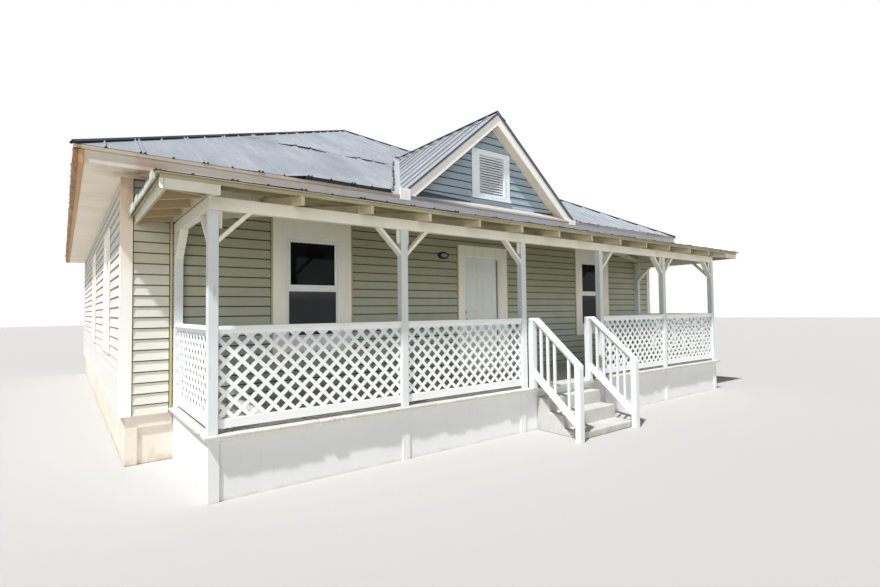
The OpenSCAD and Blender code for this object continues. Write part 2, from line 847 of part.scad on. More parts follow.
rail_z = deck_h + rail_rise;
cap_under = rail_z - board_t;
nailer_h = 40;
bottom_rail_z = deck_h + rail_gap;
bottom_rail_top = bottom_rail_z + board_h;
bays = [[0, 1], [1, 2], [3, 4], [4, 5]];

// Clear length between two posts of the front
function bay_from(bay) = post_xs[bay[0]] + post_w / 2;
function bay_to(bay) = post_xs[bay[1]] - post_w / 2;

// Flat cap, the strip below it that holds the lattice, and the bottom rail of one bay along x
module rail_bay(length) {
    box([0, -board_h / 2, cap_under], [length, board_h / 2, rail_z]);
    box([0, -board_t / 2, cap_under - nailer_h], [length, board_t / 2, cap_under]);
    box([0, -board_t / 2, bottom_rail_z], [length, board_t / 2, bottom_rail_top]);
}

module porch_rails() {
    color([0.96, 0.96, 0.95]) in_place() {
        for (bay = bays) translate([bay_from(bay), post_y, 0]) rail_bay(bay_to(bay) - bay_from(bay));
        for (x = [-end_post_x, end_post_x]) translate([x, -porch_d + post_w, 0])
            rotate([0, 0, 90]) rail_bay(porch_d - 2 * post_w);
    }
}

// Slats that run one way, cut to the panel
module slats(length, high, way) {
    step = slat_pitch;
    intersection() {
        square([length, high]);
        for (k = [-ceil(high / step) : ceil((length + high) / step)])
            translate([k * step, 0]) rotate(way * 45)
                translate([-slat_w / 2, -2 * slat_w]) square([slat_w, high * 1.5 + 4 * slat_w]);
    }
}

// Two crossed layers of slats in the plane of the rail, from the origin along x
module lattice(length) {
    high = cap_under - nailer_h - bottom_rail_top;
    translate([0, 0, bottom_rail_top]) rotate([90, 0, 0]) {
        linear_extrude(slat_t) slats(length, high, 1);
        translate([0, 0, -slat_t]) linear_extrude(slat_t) slats(length, high, -1);
    }
}

module front_lattice(bay) {
    color([0.97, 0.97, 0.97]) in_place() translate([bay_from(bay), post_y, 0])
        lattice(bay_to(bay) - bay_from(bay));
}

module side_lattice(s) {
    color([0.97, 0.97, 0.97]) in_place() translate([s * end_post_x, -porch_d + post_w, 0])
        rotate([0, 0, 90]) lattice(porch_d - 2 * post_w);
}

module lattice_1() {
    front_lattice(bays[0]);
}

module lattice_2() {
    front_lattice(bays[1]);
}

module lattice_3() {
    front_lattice(bays[2]);
}

module lattice_4() {
    front_lattice(bays[3]);
}

module lattice_left() {
    side_lattice(-1);
}

module lattice_right() {
    side_lattice(1);
}

top_step_z = deck_h - top_drop;
second_step_z = (top_step_z + slab_z) / 2;
steps_back = skirt_y;
top_front = -porch_d - top_tread;
second_front = top_front - tread;
slab_front = stair_front + newel_w + slab_gap;

// Two cast steps and the slab at their foot, seen from the side as one outline
module steps() {
    color([0.72, 0.71, 0.68]) in_place() translate([steps_left, 0, 0]) rotate([90, 0, 90])
        linear_extrude(steps_right - steps_left)
            polygon([[steps_back, 0], [steps_back, top_step_z], [top_front, top_step_z],
                [top_front, second_step_z], [second_front, second_step_z], [second_front, slab_z],
                [slab_front, slab_z], [slab_front, 0]]);
}

stair_xs = [rail_left_x, rail_right_x];
upper_post_y = deck_front + 4;
newel_top = deck_h + newel_rise;

// Slope of the stair rails, from the lower posts to the level end over the upper ones
knee_y = upper_post_y - 50;
rail_slope = (rail_z - newel_top) / (knee_y - stair_front);
board_up = board_t * sqrt(1 + rail_slope * rail_slope);

// Upper posts on the deck's edge and lower posts on the ground, cut to the handrail's slope
module stair_posts() {
    color([0.95, 0.95, 0.94]) in_place() for (x = stair_xs) {
        box([x - newel_w / 2, upper_post_y, deck_h],
            [x + newel_w / 2, upper_post_y + newel_w, rail_z - board_t]);
        sloping(x, newel_w, stair_front, stair_front + newel_w, newel_top - board_up, 0, 0);
    }
}

// Board that follows the stair's slope between two y: its top edge at a height over the newel's front, and
// under it either its thickness or, without one, a level foot
module sloping(x, w, low_y, high_y, top, thick, foot) {
    z0 = top + rail_slope * (low_y - stair_front);
    z1 = top + rail_slope * (high_y - stair_front);
    under = thick > 0 ? [z0 - thick, z1 - thick] : [foot, foot];
    translate([x - w / 2, 0, 0]) rotate([90, 0, 90]) linear_extrude(w)
        polygon([[low_y, under[0]], [high_y, under[1]], [high_y, z1], [low_y, z0]]);
}

lower_rail_top = slab_z + lower_rail_rise;

// Handrail with its level end, the strip under it and the lower rail, on each side of the steps
module stair_rails() {
    foot_y = stair_front + newel_w;
    color([0.95, 0.95, 0.94]) in_place() for (x = stair_xs) {
        sloping(x, board_h, stair_front, knee_y, newel_top, board_up, 0);
        box([x - board_h / 2, knee_y, rail_z - board_t], [x + board_h / 2, upper_post_y + newel_w, rail_z]);
        sloping(x, board_t, foot_y, knee_y, newel_top - board_up, strip_h, 0);
        box([x - board_t / 2, knee_y, rail_z - board_t - strip_h],
            [x + board_t / 2, upper_post_y, rail_z - board_t]);
        sloping(x, board_t, foot_y, upper_post_y, lower_rail_top, lower_rail_h, 0);
    }
}

module stair_balusters() {
    low = stair_front + newel_w;
    gap = (upper_post_y - low) / (baluster_count + 1);
    color([0.95, 0.95, 0.94]) in_place() for (x = stair_xs, k = [1 : baluster_count])
        if (x != rail_left_x || k != missing_baluster)
            translate([x - baluster_w / 2, low + k * gap - baluster_w / 2, 0])
                baluster(k * gap + newel_w, baluster_w);
}

// Upright between the lower rail and the handrail, cut to their slope
module baluster(run, w) {
    low = lower_rail_top + rail_slope * (run - w / 2);
    high = newel_top - board_up - strip_h + rail_slope * (run - w / 2);
    rotate([90, 0, 90]) linear_extrude(w)
        polygon([[0, low], [w, low + rail_slope * w], [w, high + rail_slope * w], [0, high]]);
}

foundation();
house_floor();
ceiling();
front_wall_left();
front_wall_right();
front_wall_over_door();
left_wall();
right_wall();
back_wall();
corner_boards();
window_trim();
window_frames();
window_sashes();
window_glass();
door_frame();
door_hinges();
front_door();
door_hardware();
wall_lamp();
soffits();
fascia();
main_roof();
roof_caps();
gable_wall();
gable_roof();
gable_rake_boards();
gable_vent();
porch_floor();
porch_skirt();
porch_posts();
porch_beams();
knee_braces();
rafters();
porch_roof_edge();
porch_purlins();
porch_roof();
porch_rails();
lattice_1();
lattice_2();
lattice_3();
lattice_4();
lattice_left();
lattice_right();
steps();
stair_posts();
stair_rails();
stair_balusters();
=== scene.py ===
"""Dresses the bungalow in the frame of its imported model: lap siding, ribbed metal roofs, joinery and porch.

Lengths are metres in the frame's own axes: +X to the right along the front, +Y to the back, +Z up.
Fields that end in _mm are millimetres.
"""
import logging
import math
import random
from dataclasses import dataclass, field
from enum import Enum
from typing import Callable, Iterable, Optional, Protocol, Sequence, Union

import bmesh
import bpy
from mathutils import Matrix, Vector, noise


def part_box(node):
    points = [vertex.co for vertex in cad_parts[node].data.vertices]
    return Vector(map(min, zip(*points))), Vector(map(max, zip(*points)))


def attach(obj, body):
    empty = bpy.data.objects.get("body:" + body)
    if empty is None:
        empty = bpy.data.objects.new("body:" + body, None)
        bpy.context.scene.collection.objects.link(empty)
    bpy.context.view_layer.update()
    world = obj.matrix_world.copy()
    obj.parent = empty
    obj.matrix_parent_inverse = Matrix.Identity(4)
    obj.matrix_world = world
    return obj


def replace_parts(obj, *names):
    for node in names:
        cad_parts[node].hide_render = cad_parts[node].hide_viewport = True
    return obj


LOG = logging.getLogger("bungalow")
Socket = bpy.types.NodeSocket
Shade = Union[str, Socket]
Span = tuple[float, float]
Place = Callable[[float, float, float], Vector]
RIGHT = Vector((1.0, 0.0, 0.0))
BACK = Vector((0.0, 1.0, 0.0))
UP = Vector((0.0, 0.0, 1.0))
WELD_DISTANCE = 0.0002


class Body(Enum):
    """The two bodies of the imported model."""

    HOUSE = "house"
    DOOR = "door"


class Axis(Enum):
    """The frame's axes."""

    X = 0
    Y = 1
    Z = 2


class Grain(Enum):
    """Direction that a board's grain or a brush mark runs in, as the stretch of its pattern."""

    ALONG_X = (0.06, 1.0, 1.0)
    ALONG_Y = (1.0, 0.06, 1.0)
    UPRIGHT = (1.0, 1.0, 0.06)
    CAST = (1.0, 1.0, 1.0)


@dataclass(frozen=True)
class Sizes:
    """Sizes that the dressing shares with the frame."""

    front: float = -4.5985
    back: float = 6.8015
    side: float = 5.58
    deck: float = 0.62
    wall_base: float = 0.566
    soffit: float = 3.325
    eave: float = 3.475
    eave_out: float = 0.455
    lip: float = 0.022
    slope: float = 0.531
    roof_t: float = 0.038
    gable_half: float = 2.07
    gable_slope: float = 0.84
    gable_face: float = -4.8485
    post_x: float = 5.008
    end_strip: float = 5.093

    @property
    def roof_level(self) -> float:
        """Top of the roof's solid over the walls' eave line."""
        return self.eave + self.roof_t

    @property
    def eave_line(self) -> float:
        """Front of the eave's board."""
        return self.front - self.eave_out


SIZES = Sizes()


def part(span: Span, share: float) -> float:
    """The place that lies a share of the way along a span."""
    return span[0] + share * (span[1] - span[0])


def linear(colour: str) -> tuple[float, float, float, float]:
    """Turns an sRGB colour into the linear one that shaders take.

    Args:
        colour: the colour as #RRGGBB.

    Returns:
        Linear red, green and blue, with full opacity.
    """
    parts = [int(colour[k:k + 2], 16) / 255 for k in (1, 3, 5)]
    red, green, blue = (p / 12.92 if p <= 0.04045 else ((p + 0.055) / 1.055) ** 2.4 for p in parts)
    return red, green, blue, 1.0


def add_node(tree: bpy.types.NodeTree, kind: str, values: Optional[dict] = None, links: Optional[dict] = None,
             **settings: object) -> bpy.types.Node:
    """Adds one node to a tree.

    Args:
        tree: the material's or world's tree.
        kind: the node's type.
        values: socket name or index to its constant.
        links: socket name or index to the output that feeds it.
        **settings: the node's own settings.

    Returns:
        The new node.
    """
    node = tree.nodes.new(kind)
    for key, value in settings.items():
        setattr(node, key, value)
    for key, value in (values or {}).items():
        node.inputs[key].default_value = value
    for key, source in (links or {}).items():
        tree.links.new(source, node.inputs[key])
    return node


class Recipe:
    """One material's node tree, written in few words."""

    def __init__(self, name: str, on_uv: bool = False) -> None:
        """Starts a material.

        Args:
            name: the finish's name.
            on_uv: whether patterns follow the piece's own UV map instead of its place.
        """
        self.material = bpy.data.materials.new(name)
        self.material.use_nodes = True
        self.tree = self.material.node_tree
        self.tree.nodes.clear()
        self.place = add_node(self.tree, "ShaderNodeTexCoord").outputs["UV" if on_uv else "Object"]

    def at(self, stretch: Sequence[float]) -> Socket:
        """The pattern's place, scaled along each axis."""
        return add_node(self.tree, "ShaderNodeMapping", {"Scale": stretch}, {"Vector": self.place}).outputs[0]

    def noise(self, size_mm: float, stretch: Sequence[float] = Grain.CAST.value,
              detail: float = 3.0) -> Socket:
        """Cloudy pattern whose patches have the given real size."""
        return add_node(self.tree, "ShaderNodeTexNoise", {"Scale": 1000.0 / size_mm, "Detail": detail},
                        {"Vector": self.at(stretch)}).outputs[0]

    def along(self, axis: Axis) -> Socket:
        """Place along one of the frame's axes."""
        return add_node(self.tree, "ShaderNodeSeparateXYZ", links={0: self.place}).outputs[axis.value]

    def from_middle(self) -> Socket:
        """Distance from the house's middle plane."""
        across = self.along(Axis.X)
        return add_node(self.tree, "ShaderNodeMath", links={0: across}, operation="ABSOLUTE").outputs[0]

    def attribute(self, name: str) -> Socket:
        """A number stored on the mesh."""
        return add_node(self.tree, "ShaderNodeAttribute", attribute_name=name).outputs["Fac"]

    def window(self, source: Socket, low: float, high: float, top: float = 1.0, base: float = 0.0) -> Socket:
        """Turns the part of a pattern between low and high into base to top."""
        values = {"From Min": low, "From Max": high, "To Min": base, "To Max": top}
        return add_node(self.tree, "ShaderNodeMapRange", values, {"Value": source}).outputs[0]

    def times(self, first: Socket, second: Socket) -> Socket:
        """Product of two patterns."""
        links = {0: first, 1: second}
        return add_node(self.tree, "ShaderNodeMath", links=links, operation="MULTIPLY").outputs[0]

    def plus(self, first: Socket, second: Socket) -> Socket:
        """Sum of two patterns."""
        return add_node(self.tree, "ShaderNodeMath", links={0: first, 1: second}, operation="ADD").outputs[0]

    def mix(self, first: Shade, second: Shade, factor: Socket) -> Socket:
        """Second colour over the first one, by a pattern."""
        values = {k: linear(c) for k, c in ((6, first), (7, second)) if isinstance(c, str)}
        links = {k: c for k, c in ((6, first), (7, second)) if not isinstance(c, str)}
        return add_node(self.tree, "ShaderNodeMix", values, {0: factor, **links}, data_type="RGBA").outputs[2]

    def close(self, colour: Shade, roughness: Union[float, Socket], height: Optional[Socket] = None,
              depth: float = 0.001, **fixed: float) -> bpy.types.Material:
        """Puts the shader on.

        Args:
            colour: the base colour.
            roughness: a constant or a pattern.
            height: pattern that lifts the surface.
            depth: how far it lifts, in metres.
            **fixed: constants for other shader sockets, with underscores for spaces.

        Returns:
            The finished material.
        """
        values: dict = {key.replace("_", " "): value for key, value in fixed.items()}
        links: dict = {}
        for key, what in (("Base Color", colour), ("Roughness", roughness)):
            if isinstance(what, str):
                values[key] = linear(what)
            elif isinstance(what, float):
                values[key] = what
            else:
                links[key] = what
        if height is not None:
            links["Normal"] = add_node(self.tree, "ShaderNodeBump", {"Strength": 1.0, "Distance": depth},
                                       {"Height": height}).outputs[0]
        shader = add_node(self.tree, "ShaderNodeBsdfPrincipled", values, links)
        add_node(self.tree, "ShaderNodeOutputMaterial", links={0: shader.outputs[0]})
        return self.material


class Finish(Protocol):
    """What every finish offers."""

    name: str

    def material(self) -> bpy.types.Material:
        """The finish's material."""


@dataclass(frozen=True)
class Fade:
    """A second colour that comes in between two places along one of the frame's axes; most finishes use it to
    paint light or shade.
    """

    axis: Axis
    start: float
    end: float
    colour: str
    amount: float = 1.0


@dataclass(frozen=True)
class Spot:
    """A ragged stain round one place."""

    centre: tuple[float, float, float]
    radius: float
    colour: str
    amount: float = 1.0


@dataclass(frozen=True)
class Paint:
    """Weathered paint on boards, metal or masonry, with painted light and shade from its fades and its dark
    recess colour.

    Clouds of stain, runs below joints and flaking chips have the sizes of real ones. Grain and brush marks
    are drawn about 4 mm apart, coarser than real ones, so that they show at the photograph's distance.
    """

    name: str
    colour: str
    stain: str
    under: str
    grain: Grain = Grain.ALONG_X
    grain_depth: float = 0.0005
    stains: float = 0.4
    runs: float = 0.1
    chips: float = 0.0
    boards: float = 0.35
    roughness: float = 0.55
    splash: Optional[Span] = None
    # Colour of the painted shade in recesses, gaps and reveals
    shade_colour: str = ""
    bare: str = ""
    fades: tuple[Fade, ...] = ()
    spots: tuple[Spot, ...] = ()
    cloud_mm: float = 714.286
    run_mm: float = 111.111
    splash_mm: float = 200.0
    spot_mm: float = 142.857
    mark_mm: float = 4.34783
    flake_mm: float = 38.4615
    flaking_mm: float = 526.316

    def weathered_with_painted_light(self, mix: Recipe) -> Socket:
        """The colour with its fades, which mostly paint light and shade, and its clouds, boards, runs,
        splashes and spots.

        Args:
            mix: the material's recipe.

        Returns:
            The colour.
        """
        colour = self.colour
        for fade in self.fades:
            share = mix.window(mix.along(fade.axis), fade.start, fade.end, fade.amount)
            colour = mix.mix(colour, fade.colour, share)
        clouds = mix.window(mix.noise(self.cloud_mm, detail=6.0), 0.44, 0.72, self.stains)
        colour = mix.mix(colour, self.stain, clouds)
        colour = mix.mix(colour, self.stain, mix.window(mix.attribute("board"), 0.0, 1.0, self.boards))
        if self.runs:
            drips = mix.window(mix.noise(self.run_mm, (1.0, 1.0, 0.1), 4.0), 0.52, 0.78, self.runs)
            colour = mix.mix(colour, self.under, drips)
        if self.splash:
            low = mix.window(mix.along(Axis.Z), self.splash[0], self.splash[1], 0.0, 0.75)
            rough_edge = mix.window(mix.noise(self.splash_mm, detail=8.0), 0.3, 0.7)
            colour = mix.mix(colour, self.under, mix.times(low, rough_edge))
        for spot in self.spots:
            away = add_node(mix.tree, "ShaderNodeVectorMath", {1: spot.centre}, {0: mix.place},
                            operation="DISTANCE")
            near = mix.window(away.outputs["Value"], spot.radius, 0.0, spot.amount)
            ragged = mix.window(mix.noise(self.spot_mm, (1.0, 1.0, 0.5), 6.0), 0.3, 0.6)
            colour = mix.mix(colour, spot.colour, mix.times(near, ragged))
        return colour

    def overhang(self, mix: Recipe, board: float = 0.045, beside_post: float = 0.055,
                 blur: float = 0.005) -> Socket:
        """1 on the boards of the porch roof's short overhangs, and 0 on the boards that close them.

        Args:
            mix: the material's recipe.
            board: depth of the closing boards with their clearance.
            beside_post: where the overhang starts, from the end post's middle.
            blur: width of the change.

        Returns:
            The pattern.
        """
        low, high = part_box("porch_roof_edge")
        behind = mix.window(mix.along(Axis.Y), low.y + board, low.y + board + blur)
        away = mix.times(mix.from_middle(), behind)
        start = SIZES.post_x + beside_post
        end = high.x - board - 0.002
        return mix.times(mix.window(away, start, start + blur), mix.window(away, end, end + blur, 0.0, 1.0))

    def material(self) -> bpy.types.Material:
        """The finish's material."""
        mix = Recipe(self.name)
        colour = self.weathered_with_painted_light(mix)
        marks = mix.noise(self.mark_mm, self.grain.value, 4.0)
        height = marks
        if self.chips:
            flakes = mix.times(mix.window(mix.noise(self.flake_mm, self.grain.value, 8.0), 0.6, 0.64),
                               mix.window(mix.noise(self.flaking_mm, detail=2.0), 0.5, 0.6, self.chips))
            colour = mix.mix(colour, self.under, flakes)
            height = mix.plus(marks, mix.window(flakes, 0.0, 1.0, 0.0, 0.8))
        if self.bare:
            colour = mix.mix(colour, self.bare, self.overhang(mix))
        # Painted shade: faces marked as dark recesses take the shade colour
        if self.shade_colour:
            colour = mix.mix(colour, self.shade_colour, mix.attribute("gap"))
        worn = mix.window(marks, 0.2, 0.8, self.roughness + 0.1, self.roughness - 0.08)
        return mix.close(colour, worn, height, self.grain_depth)


@dataclass(frozen=True)
class RoofSheet:
    """Weathered galvanized sheet: its grey lies in broad clouds, with thin runs, rust spots and painted shade
    on rib flanks and in strips under sheet edges.

    Its UV map runs in metres, across the sheet and up the slope. Its patterns have the sizes of real ones.
    """

    name: str = "weathered_roof_sheet"
    colour: str = "#767C84"
    pale: str = "#8E949C"
    dirt: str = "#5A5F67"
    rust: str = "#8A5A3C"
    # Colour of the painted shade
    shade_colour: str = "#34363A"
    on_uv: bool = True
    shine: float = 0.5
    cloud_mm: float = 909.091
    dirt_mm: float = 384.615
    run_mm: float = 71.4286
    rust_mm: float = 111.111
    rusting_mm: float = 1428.57
    sheen_mm: float = 200.0
    dent_mm: float = 312.5

    def material(self) -> bpy.types.Material:
        """The finish's material."""
        mix = Recipe(self.name, self.on_uv)
        clouds = mix.window(mix.noise(self.cloud_mm, (1.0, 0.5, 1.0), 5.0), 0.35, 0.65)
        colour = mix.mix(self.colour, self.pale, clouds)
        colour = mix.mix(colour, self.pale, mix.window(mix.attribute("board"), 0.0, 1.0, 0.5))
        grime = mix.window(mix.noise(self.dirt_mm, (1.0, 0.7, 1.0), 6.0), 0.5, 0.8, 0.4)
        colour = mix.mix(colour, self.dirt, grime)
        runs = mix.window(mix.noise(self.run_mm, (1.0, 0.12, 1.0), 5.0), 0.5, 0.75, 0.25)
        colour = mix.mix(colour, self.dirt, runs)
        spots = mix.times(mix.window(mix.noise(self.rust_mm, (1.0, 0.35, 1.0), 8.0), 0.62, 0.72),
                          mix.window(mix.noise(self.rusting_mm, detail=2.0), 0.52, 0.62, 0.6))
        colour = mix.mix(colour, self.rust, spots)
        # Painted shade on rib flanks and on the strips under the sheets' edges
        colour = mix.mix(colour, self.shade_colour, mix.attribute("gap"))
        roughness = mix.window(mix.noise(self.sheen_mm, detail=4.0), 0.3, 0.7, 0.66, 0.48)
        dents = mix.noise(self.dent_mm, (1.0, 0.6, 1.0), 2.0)
        return mix.close(colour, roughness, dents, 0.004, Metallic=0.12, Specular_IOR_Level=self.shine)


@dataclass(frozen=True)
class Pane:
    """Glass with the dark behind it shown as its colour, and clouds of painted reflection: smooth, faintly
    wavy and smeared.
    """

    name: str = "window_glass"
    tint: str = "#08090A"
    reflection: str = "#1C2426"
    shine: float = 0.12
    cloud_mm: float = 476.19
    smear_mm: float = 142.857
    wave_mm: float = 625.0

    def material(self) -> bpy.types.Material:
        """The finish's material."""
        mix = Recipe(self.name)
        # Clouds of painted reflection
        clouds = mix.window(mix.noise(self.cloud_mm, (1.0, 1.0, 0.7), 2.0), 0.4, 0.7, 0.6)
        colour = mix.mix(self.tint, self.reflection, clouds)
        smears = mix.window(mix.noise(self.smear_mm, (1.0, 1.0, 0.3), 5.0), 0.45, 0.8, 0.1, 0.03)
        waves = mix.noise(self.wave_mm, detail=1.0)
        return mix.close(colour, smears, waves, 0.004, Specular_IOR_Level=self.shine)


@dataclass(frozen=True)
class Ironwork:
    """Metal of the lamp, knobs and hinges, with worn places.

    Its grainy skin is drawn 2.4 mm across, coarser than the real one, so that it shows.
    """

    name: str
    colour: str
    worn: str
    metallic: float
    roughness: float
    wear_mm: float = 16.6667
    skin_mm: float = 2.38095

    def material(self) -> bpy.types.Material:
        """The finish's material."""
        mix = Recipe(self.name)
        wear = mix.window(mix.noise(self.wear_mm, detail=6.0), 0.55, 0.75, 0.6)
        skin = mix.noise(self.skin_mm, detail=2.0)
        colour = mix.mix(self.colour, self.worn, wear)
        return mix.close(colour, self.roughness, skin, 0.0002, Metallic=self.metallic)


@dataclass(frozen=True)
class Masonry:
    """Cast concrete or painted block: pores 5.5 mm wide, clouds of wear and a stained foot."""

    name: str
    colour: str
    worn: str
    stain: str
    foot: Span = (0.0, 0.12)
    wear_mm: float = 434.783
    stain_mm: float = 90.9091
    splash_mm: float = 166.667
    pore_mm: float = 5.55556
    lump_mm: float = 62.5

    def material(self) -> bpy.types.Material:
        """The finish's material."""
        mix = Recipe(self.name)
        wear = mix.window(mix.noise(self.wear_mm, detail=8.0), 0.4, 0.7, 0.8)
        colour = mix.mix(self.colour, self.worn, wear)
        stains = mix.window(mix.noise(self.stain_mm, (1.0, 1.0, 0.3), 6.0), 0.55, 0.8, 0.5)
        colour = mix.mix(colour, self.stain, stains)
        low = mix.window(mix.along(Axis.Z), self.foot[0], self.foot[1], 0.0, 0.8)
        splashes = mix.window(mix.noise(self.splash_mm, detail=7.0), 0.3, 0.65)
        colour = mix.mix(colour, self.stain, mix.times(low, splashes))
        pores = mix.noise(self.pore_mm, detail=5.0)
        height = mix.plus(pores, mix.noise(self.lump_mm, detail=6.0))
        return mix.close(colour, mix.window(pores, 0.2, 0.8, 0.95, 0.8), height, 0.0016)


class Finishes:
    """Every finish of the house, each made once. A comment on each says what it gives the eye, and where it
    paints light or shade.
    """

    # Lap siding, pressed with a faint grain: satin and even, made bluer low under the porch as painted sky
    # light
    FRONT_SIDING = Paint("olive_grey_lap_siding", "#ABAA90", "#97957C", "#7F765C", shade_colour="#35342A",
                         fades=(Fade(Axis.Z, SIZES.deck + 1.9, SIZES.deck + 0.1, "#AFBFBD", 0.85),))
    # The same siding outside the porch's end post: pale low down as painted sunlight, its own olive above,
    # and a painted blue-grey shade under the porch roof
    END_SIDING = Paint("end_siding_painted_sun_and_shade", "#D5D3C8", "#C8C5B8", "#B3A58C", shade_colour="#57533F",
                       fades=(Fade(Axis.Z, SIZES.deck + 1.45, SIZES.deck + 1.75, "#AFAC93"),
                              Fade(Axis.Z, SIZES.deck + 2.25, SIZES.deck + 2.35, "#5E686A")))
    # Siding of the sunny wall: coloured nearly white as painted sunlight, with painted shade still dark below
    # each butt edge
    SUN_SIDING = Paint("side_siding_painted_sunlit", "#CFCFCD", "#C4C3BE", "#B0A592", Grain.ALONG_Y, runs=0.15,
                       shade_colour="#7D7458")
    # Siding out of the sun: greener, with more mildew
    BACK_SIDING = Paint("lap_siding_at_the_back", "#B9B7A6", "#A29C88", "#8C8068", stains=0.5, runs=0.15,
                        shade_colour="#4B4836")
    # Painted boards of the gable: blue-grey and satin
    GABLE_SIDING = Paint("blue_grey_gable_siding", "#98A9B4", "#8B9CA7", "#767F86", stains=0.5, runs=0.15,
                         shade_colour="#2E3238")
    # Extruded channel strip: tan, streaked by rain, with painted shade in the dark reveal beside it
    CHANNEL = Paint("tan_siding_channel", "#C6B891", "#AE9B72", "#7A6442", Grain.UPRIGHT, stains=0.5,
                    runs=0.4, shade_colour="#3A3020")
    # Brushed house paint on sawn pine: creamy, with grain through it and flaked places
    WHITE = Paint("white_painted_board", "#E6E3D6", "#DCD8C9", "#BDB4A6", grain_depth=0.0006, chips=0.3)
    # The same paint on square posts, worn through at the edges: tinted cooler as painted sky light, and
    # greyer above about a metre over the deck as the porch roof's painted shadow
    WHITE_POST = Paint("white_post_with_painted_shade", "#DBDFE1", "#D1D5D7", "#A99B82", Grain.UPRIGHT, 0.0007,
                       stains=0.45, runs=0.12, chips=0.45,
                       fades=(Fade(Axis.Z, SIZES.deck + 0.7, SIZES.deck + 1.0, "#CDD2D4"),))
    # The beams' white paint made brighter and cooler on the railings, as painted sky light on their shaded
    # faces
    RAIL = Paint("rail_paint_painted_sky_light", "#EAECEC", "#E0E2E2", "#BDB4A6", grain_depth=0.0006, chips=0.3)
    # The white paint made brighter on the rake boards, as painted light on faces that the sun only grazes
    RAKE = Paint("rake_board_painted_lit", "#F4F2ED", "#E9E5DC", "#BDB4A6", grain_depth=0.0006, chips=0.3)
    # Flat surround boards: warm white above, made cooler below as painted sky light
    SURROUND = Paint("pale_flat_surround", "#F8F5E8", "#EEEBDD", "#B3AC9C", Grain.UPRIGHT, runs=0.15,
                     fades=(Fade(Axis.Z, SIZES.deck + 1.4, SIZES.deck + 0.3, "#EEF2F8", 0.8),))
    # Corner board: beige above as painted eave shade, paler below as painted sunlight, greyish white on the
    # side wall's face, with rust from the eave at its top
    CORNER = Paint("corner_board_painted_shade_and_sun", "#DFCAB0", "#D3BA9B", "#B98E68", Grain.UPRIGHT, 0.0004, stains=0.5,
                   runs=0.25,
                   fades=(Fade(Axis.Z, SIZES.deck + 2.3, SIZES.deck + 1.6, "#F0ECE7"),
                          Fade(Axis.Y, SIZES.front - 0.002, SIZES.front + 0.002, "#DEDCD5")),
                   spots=(Spot((-5.55, SIZES.front, SIZES.soffit), 0.5, "#A66B3C", 0.7),))
    # Eave board: beige at the corner, turning greyer towards the gable as painted shade and sky light, with
    # one rusty run
    FASCIA = Paint("beige_fascia", "#D2C8BC", "#C3B7AA", "#A5835F", Grain.CAST, 0.0004, runs=0.2,
                   fades=(Fade(Axis.X, -4.8, -1.5, "#C3C5CB"),),
                   spots=(Spot((-5.3, SIZES.eave_line, SIZES.soffit - 0.06), 0.3, "#A8713A"),))
    # Soffit boards: creamy, lit from below, with a rust stain at the corner
    SOFFIT = Paint("beige_soffit_board", "#F3EADB", "#E3D4BC", "#A88C66", grain_depth=0.0008, stains=0.5,
                   runs=0.0, chips=0.2, fades=(Fade(Axis.Z, SIZES.eave, SIZES.eave + 0.05, "#F9E8D0"),),
                   spots=(Spot((-5.45, SIZES.front - 0.3, SIZES.soffit), 0.5, "#A0622F", 0.8),))
    # Half-painted rough pine: the paint has gone in patches and the grain stands up
    RAW_BOARD = Paint("half_painted_purlin", "#AEA788", "#918767", "#74694C", grain_depth=0.0012, stains=0.7,
                      runs=0.3, chips=0.8)
    # Plumb-cut block at a rake's foot: clean white paint
    PIER = Paint("white_rake_foot", "#F2F1EE", "#DAD8D2", "#A99B82", Grain.UPRIGHT, 0.0006, runs=0.2,
                 chips=0.3)
    # Deck paint under many feet: grey, worn to the wood, each board its own shade
    DECK = Paint("worn_grey_deck_paint", "#C6C5C1", "#B3B1AB", "#827866", Grain.ALONG_Y, 0.0016, stains=0.5,
                 runs=0.0, chips=1.0, boards=0.6, roughness=0.7)
    # Skirt boards: flat white with dirt splashed up from the ground
    SKIRT = Paint("white_skirt_board", "#DFE0E1", "#D6D7D8", "#BDB3A4", Grain.UPRIGHT, 0.001, runs=0.03,
                  chips=0.2, boards=0.12, roughness=0.65, splash=(0.0, 0.04))
    # Moulded plastic lattice: smooth and bright, bluer in the top rail's shade
    LATTICE = Paint("white_lattice", "#F1F3F3", "#E8EAEA", "#C9C7C0", Grain.CAST, 0.0001, runs=0.05,
                    boards=0.25, roughness=0.4,
                    fades=(Fade(Axis.Z, SIZES.deck + 0.76, SIZES.deck + 0.86, "#D5DCE4"),))
    # Painted shadow of the jamb's return before the door's hinged edge: a dark, matt strip
    JAMB_SHADOW = Paint("painted_jamb_shadow", "#454B55", "#353A43", "#2A2D33", Grain.UPRIGHT, 0.0004, stains=0.5,
                  runs=0.0)
    # Extruded vinyl of the windows: smooth, with a soft gloss
    VINYL = Paint("white_vinyl", "#F2F3F1", "#DEDFDC", "#B9B7AE", Grain.CAST, 0.0001, runs=0.08, boards=0.2,
                  roughness=0.32)
    # Sprayed enamel on the steel door: pale grey-green with a soft gloss
    DOOR = Paint("pale_grey_door_paint", "#E8EDE8", "#DBE1DC", "#A8A89E", Grain.UPRIGHT, 0.0003, boards=0.2,
                 roughness=0.38)
    # Oak boards of the room: brown, with darker clouds and grain
    FLOOR = Paint("oak_floor", "#8A6A48", "#6E5236", "#4B3826", grain_depth=0.0006, stains=0.6, runs=0.0)
    # Trowelled plaster: matt, with faint clouds
    PLASTER = Paint("white_plaster", "#E2E0D8", "#D3D0C5", "#BDB8A8", Grain.CAST, 0.0006, runs=0.0)
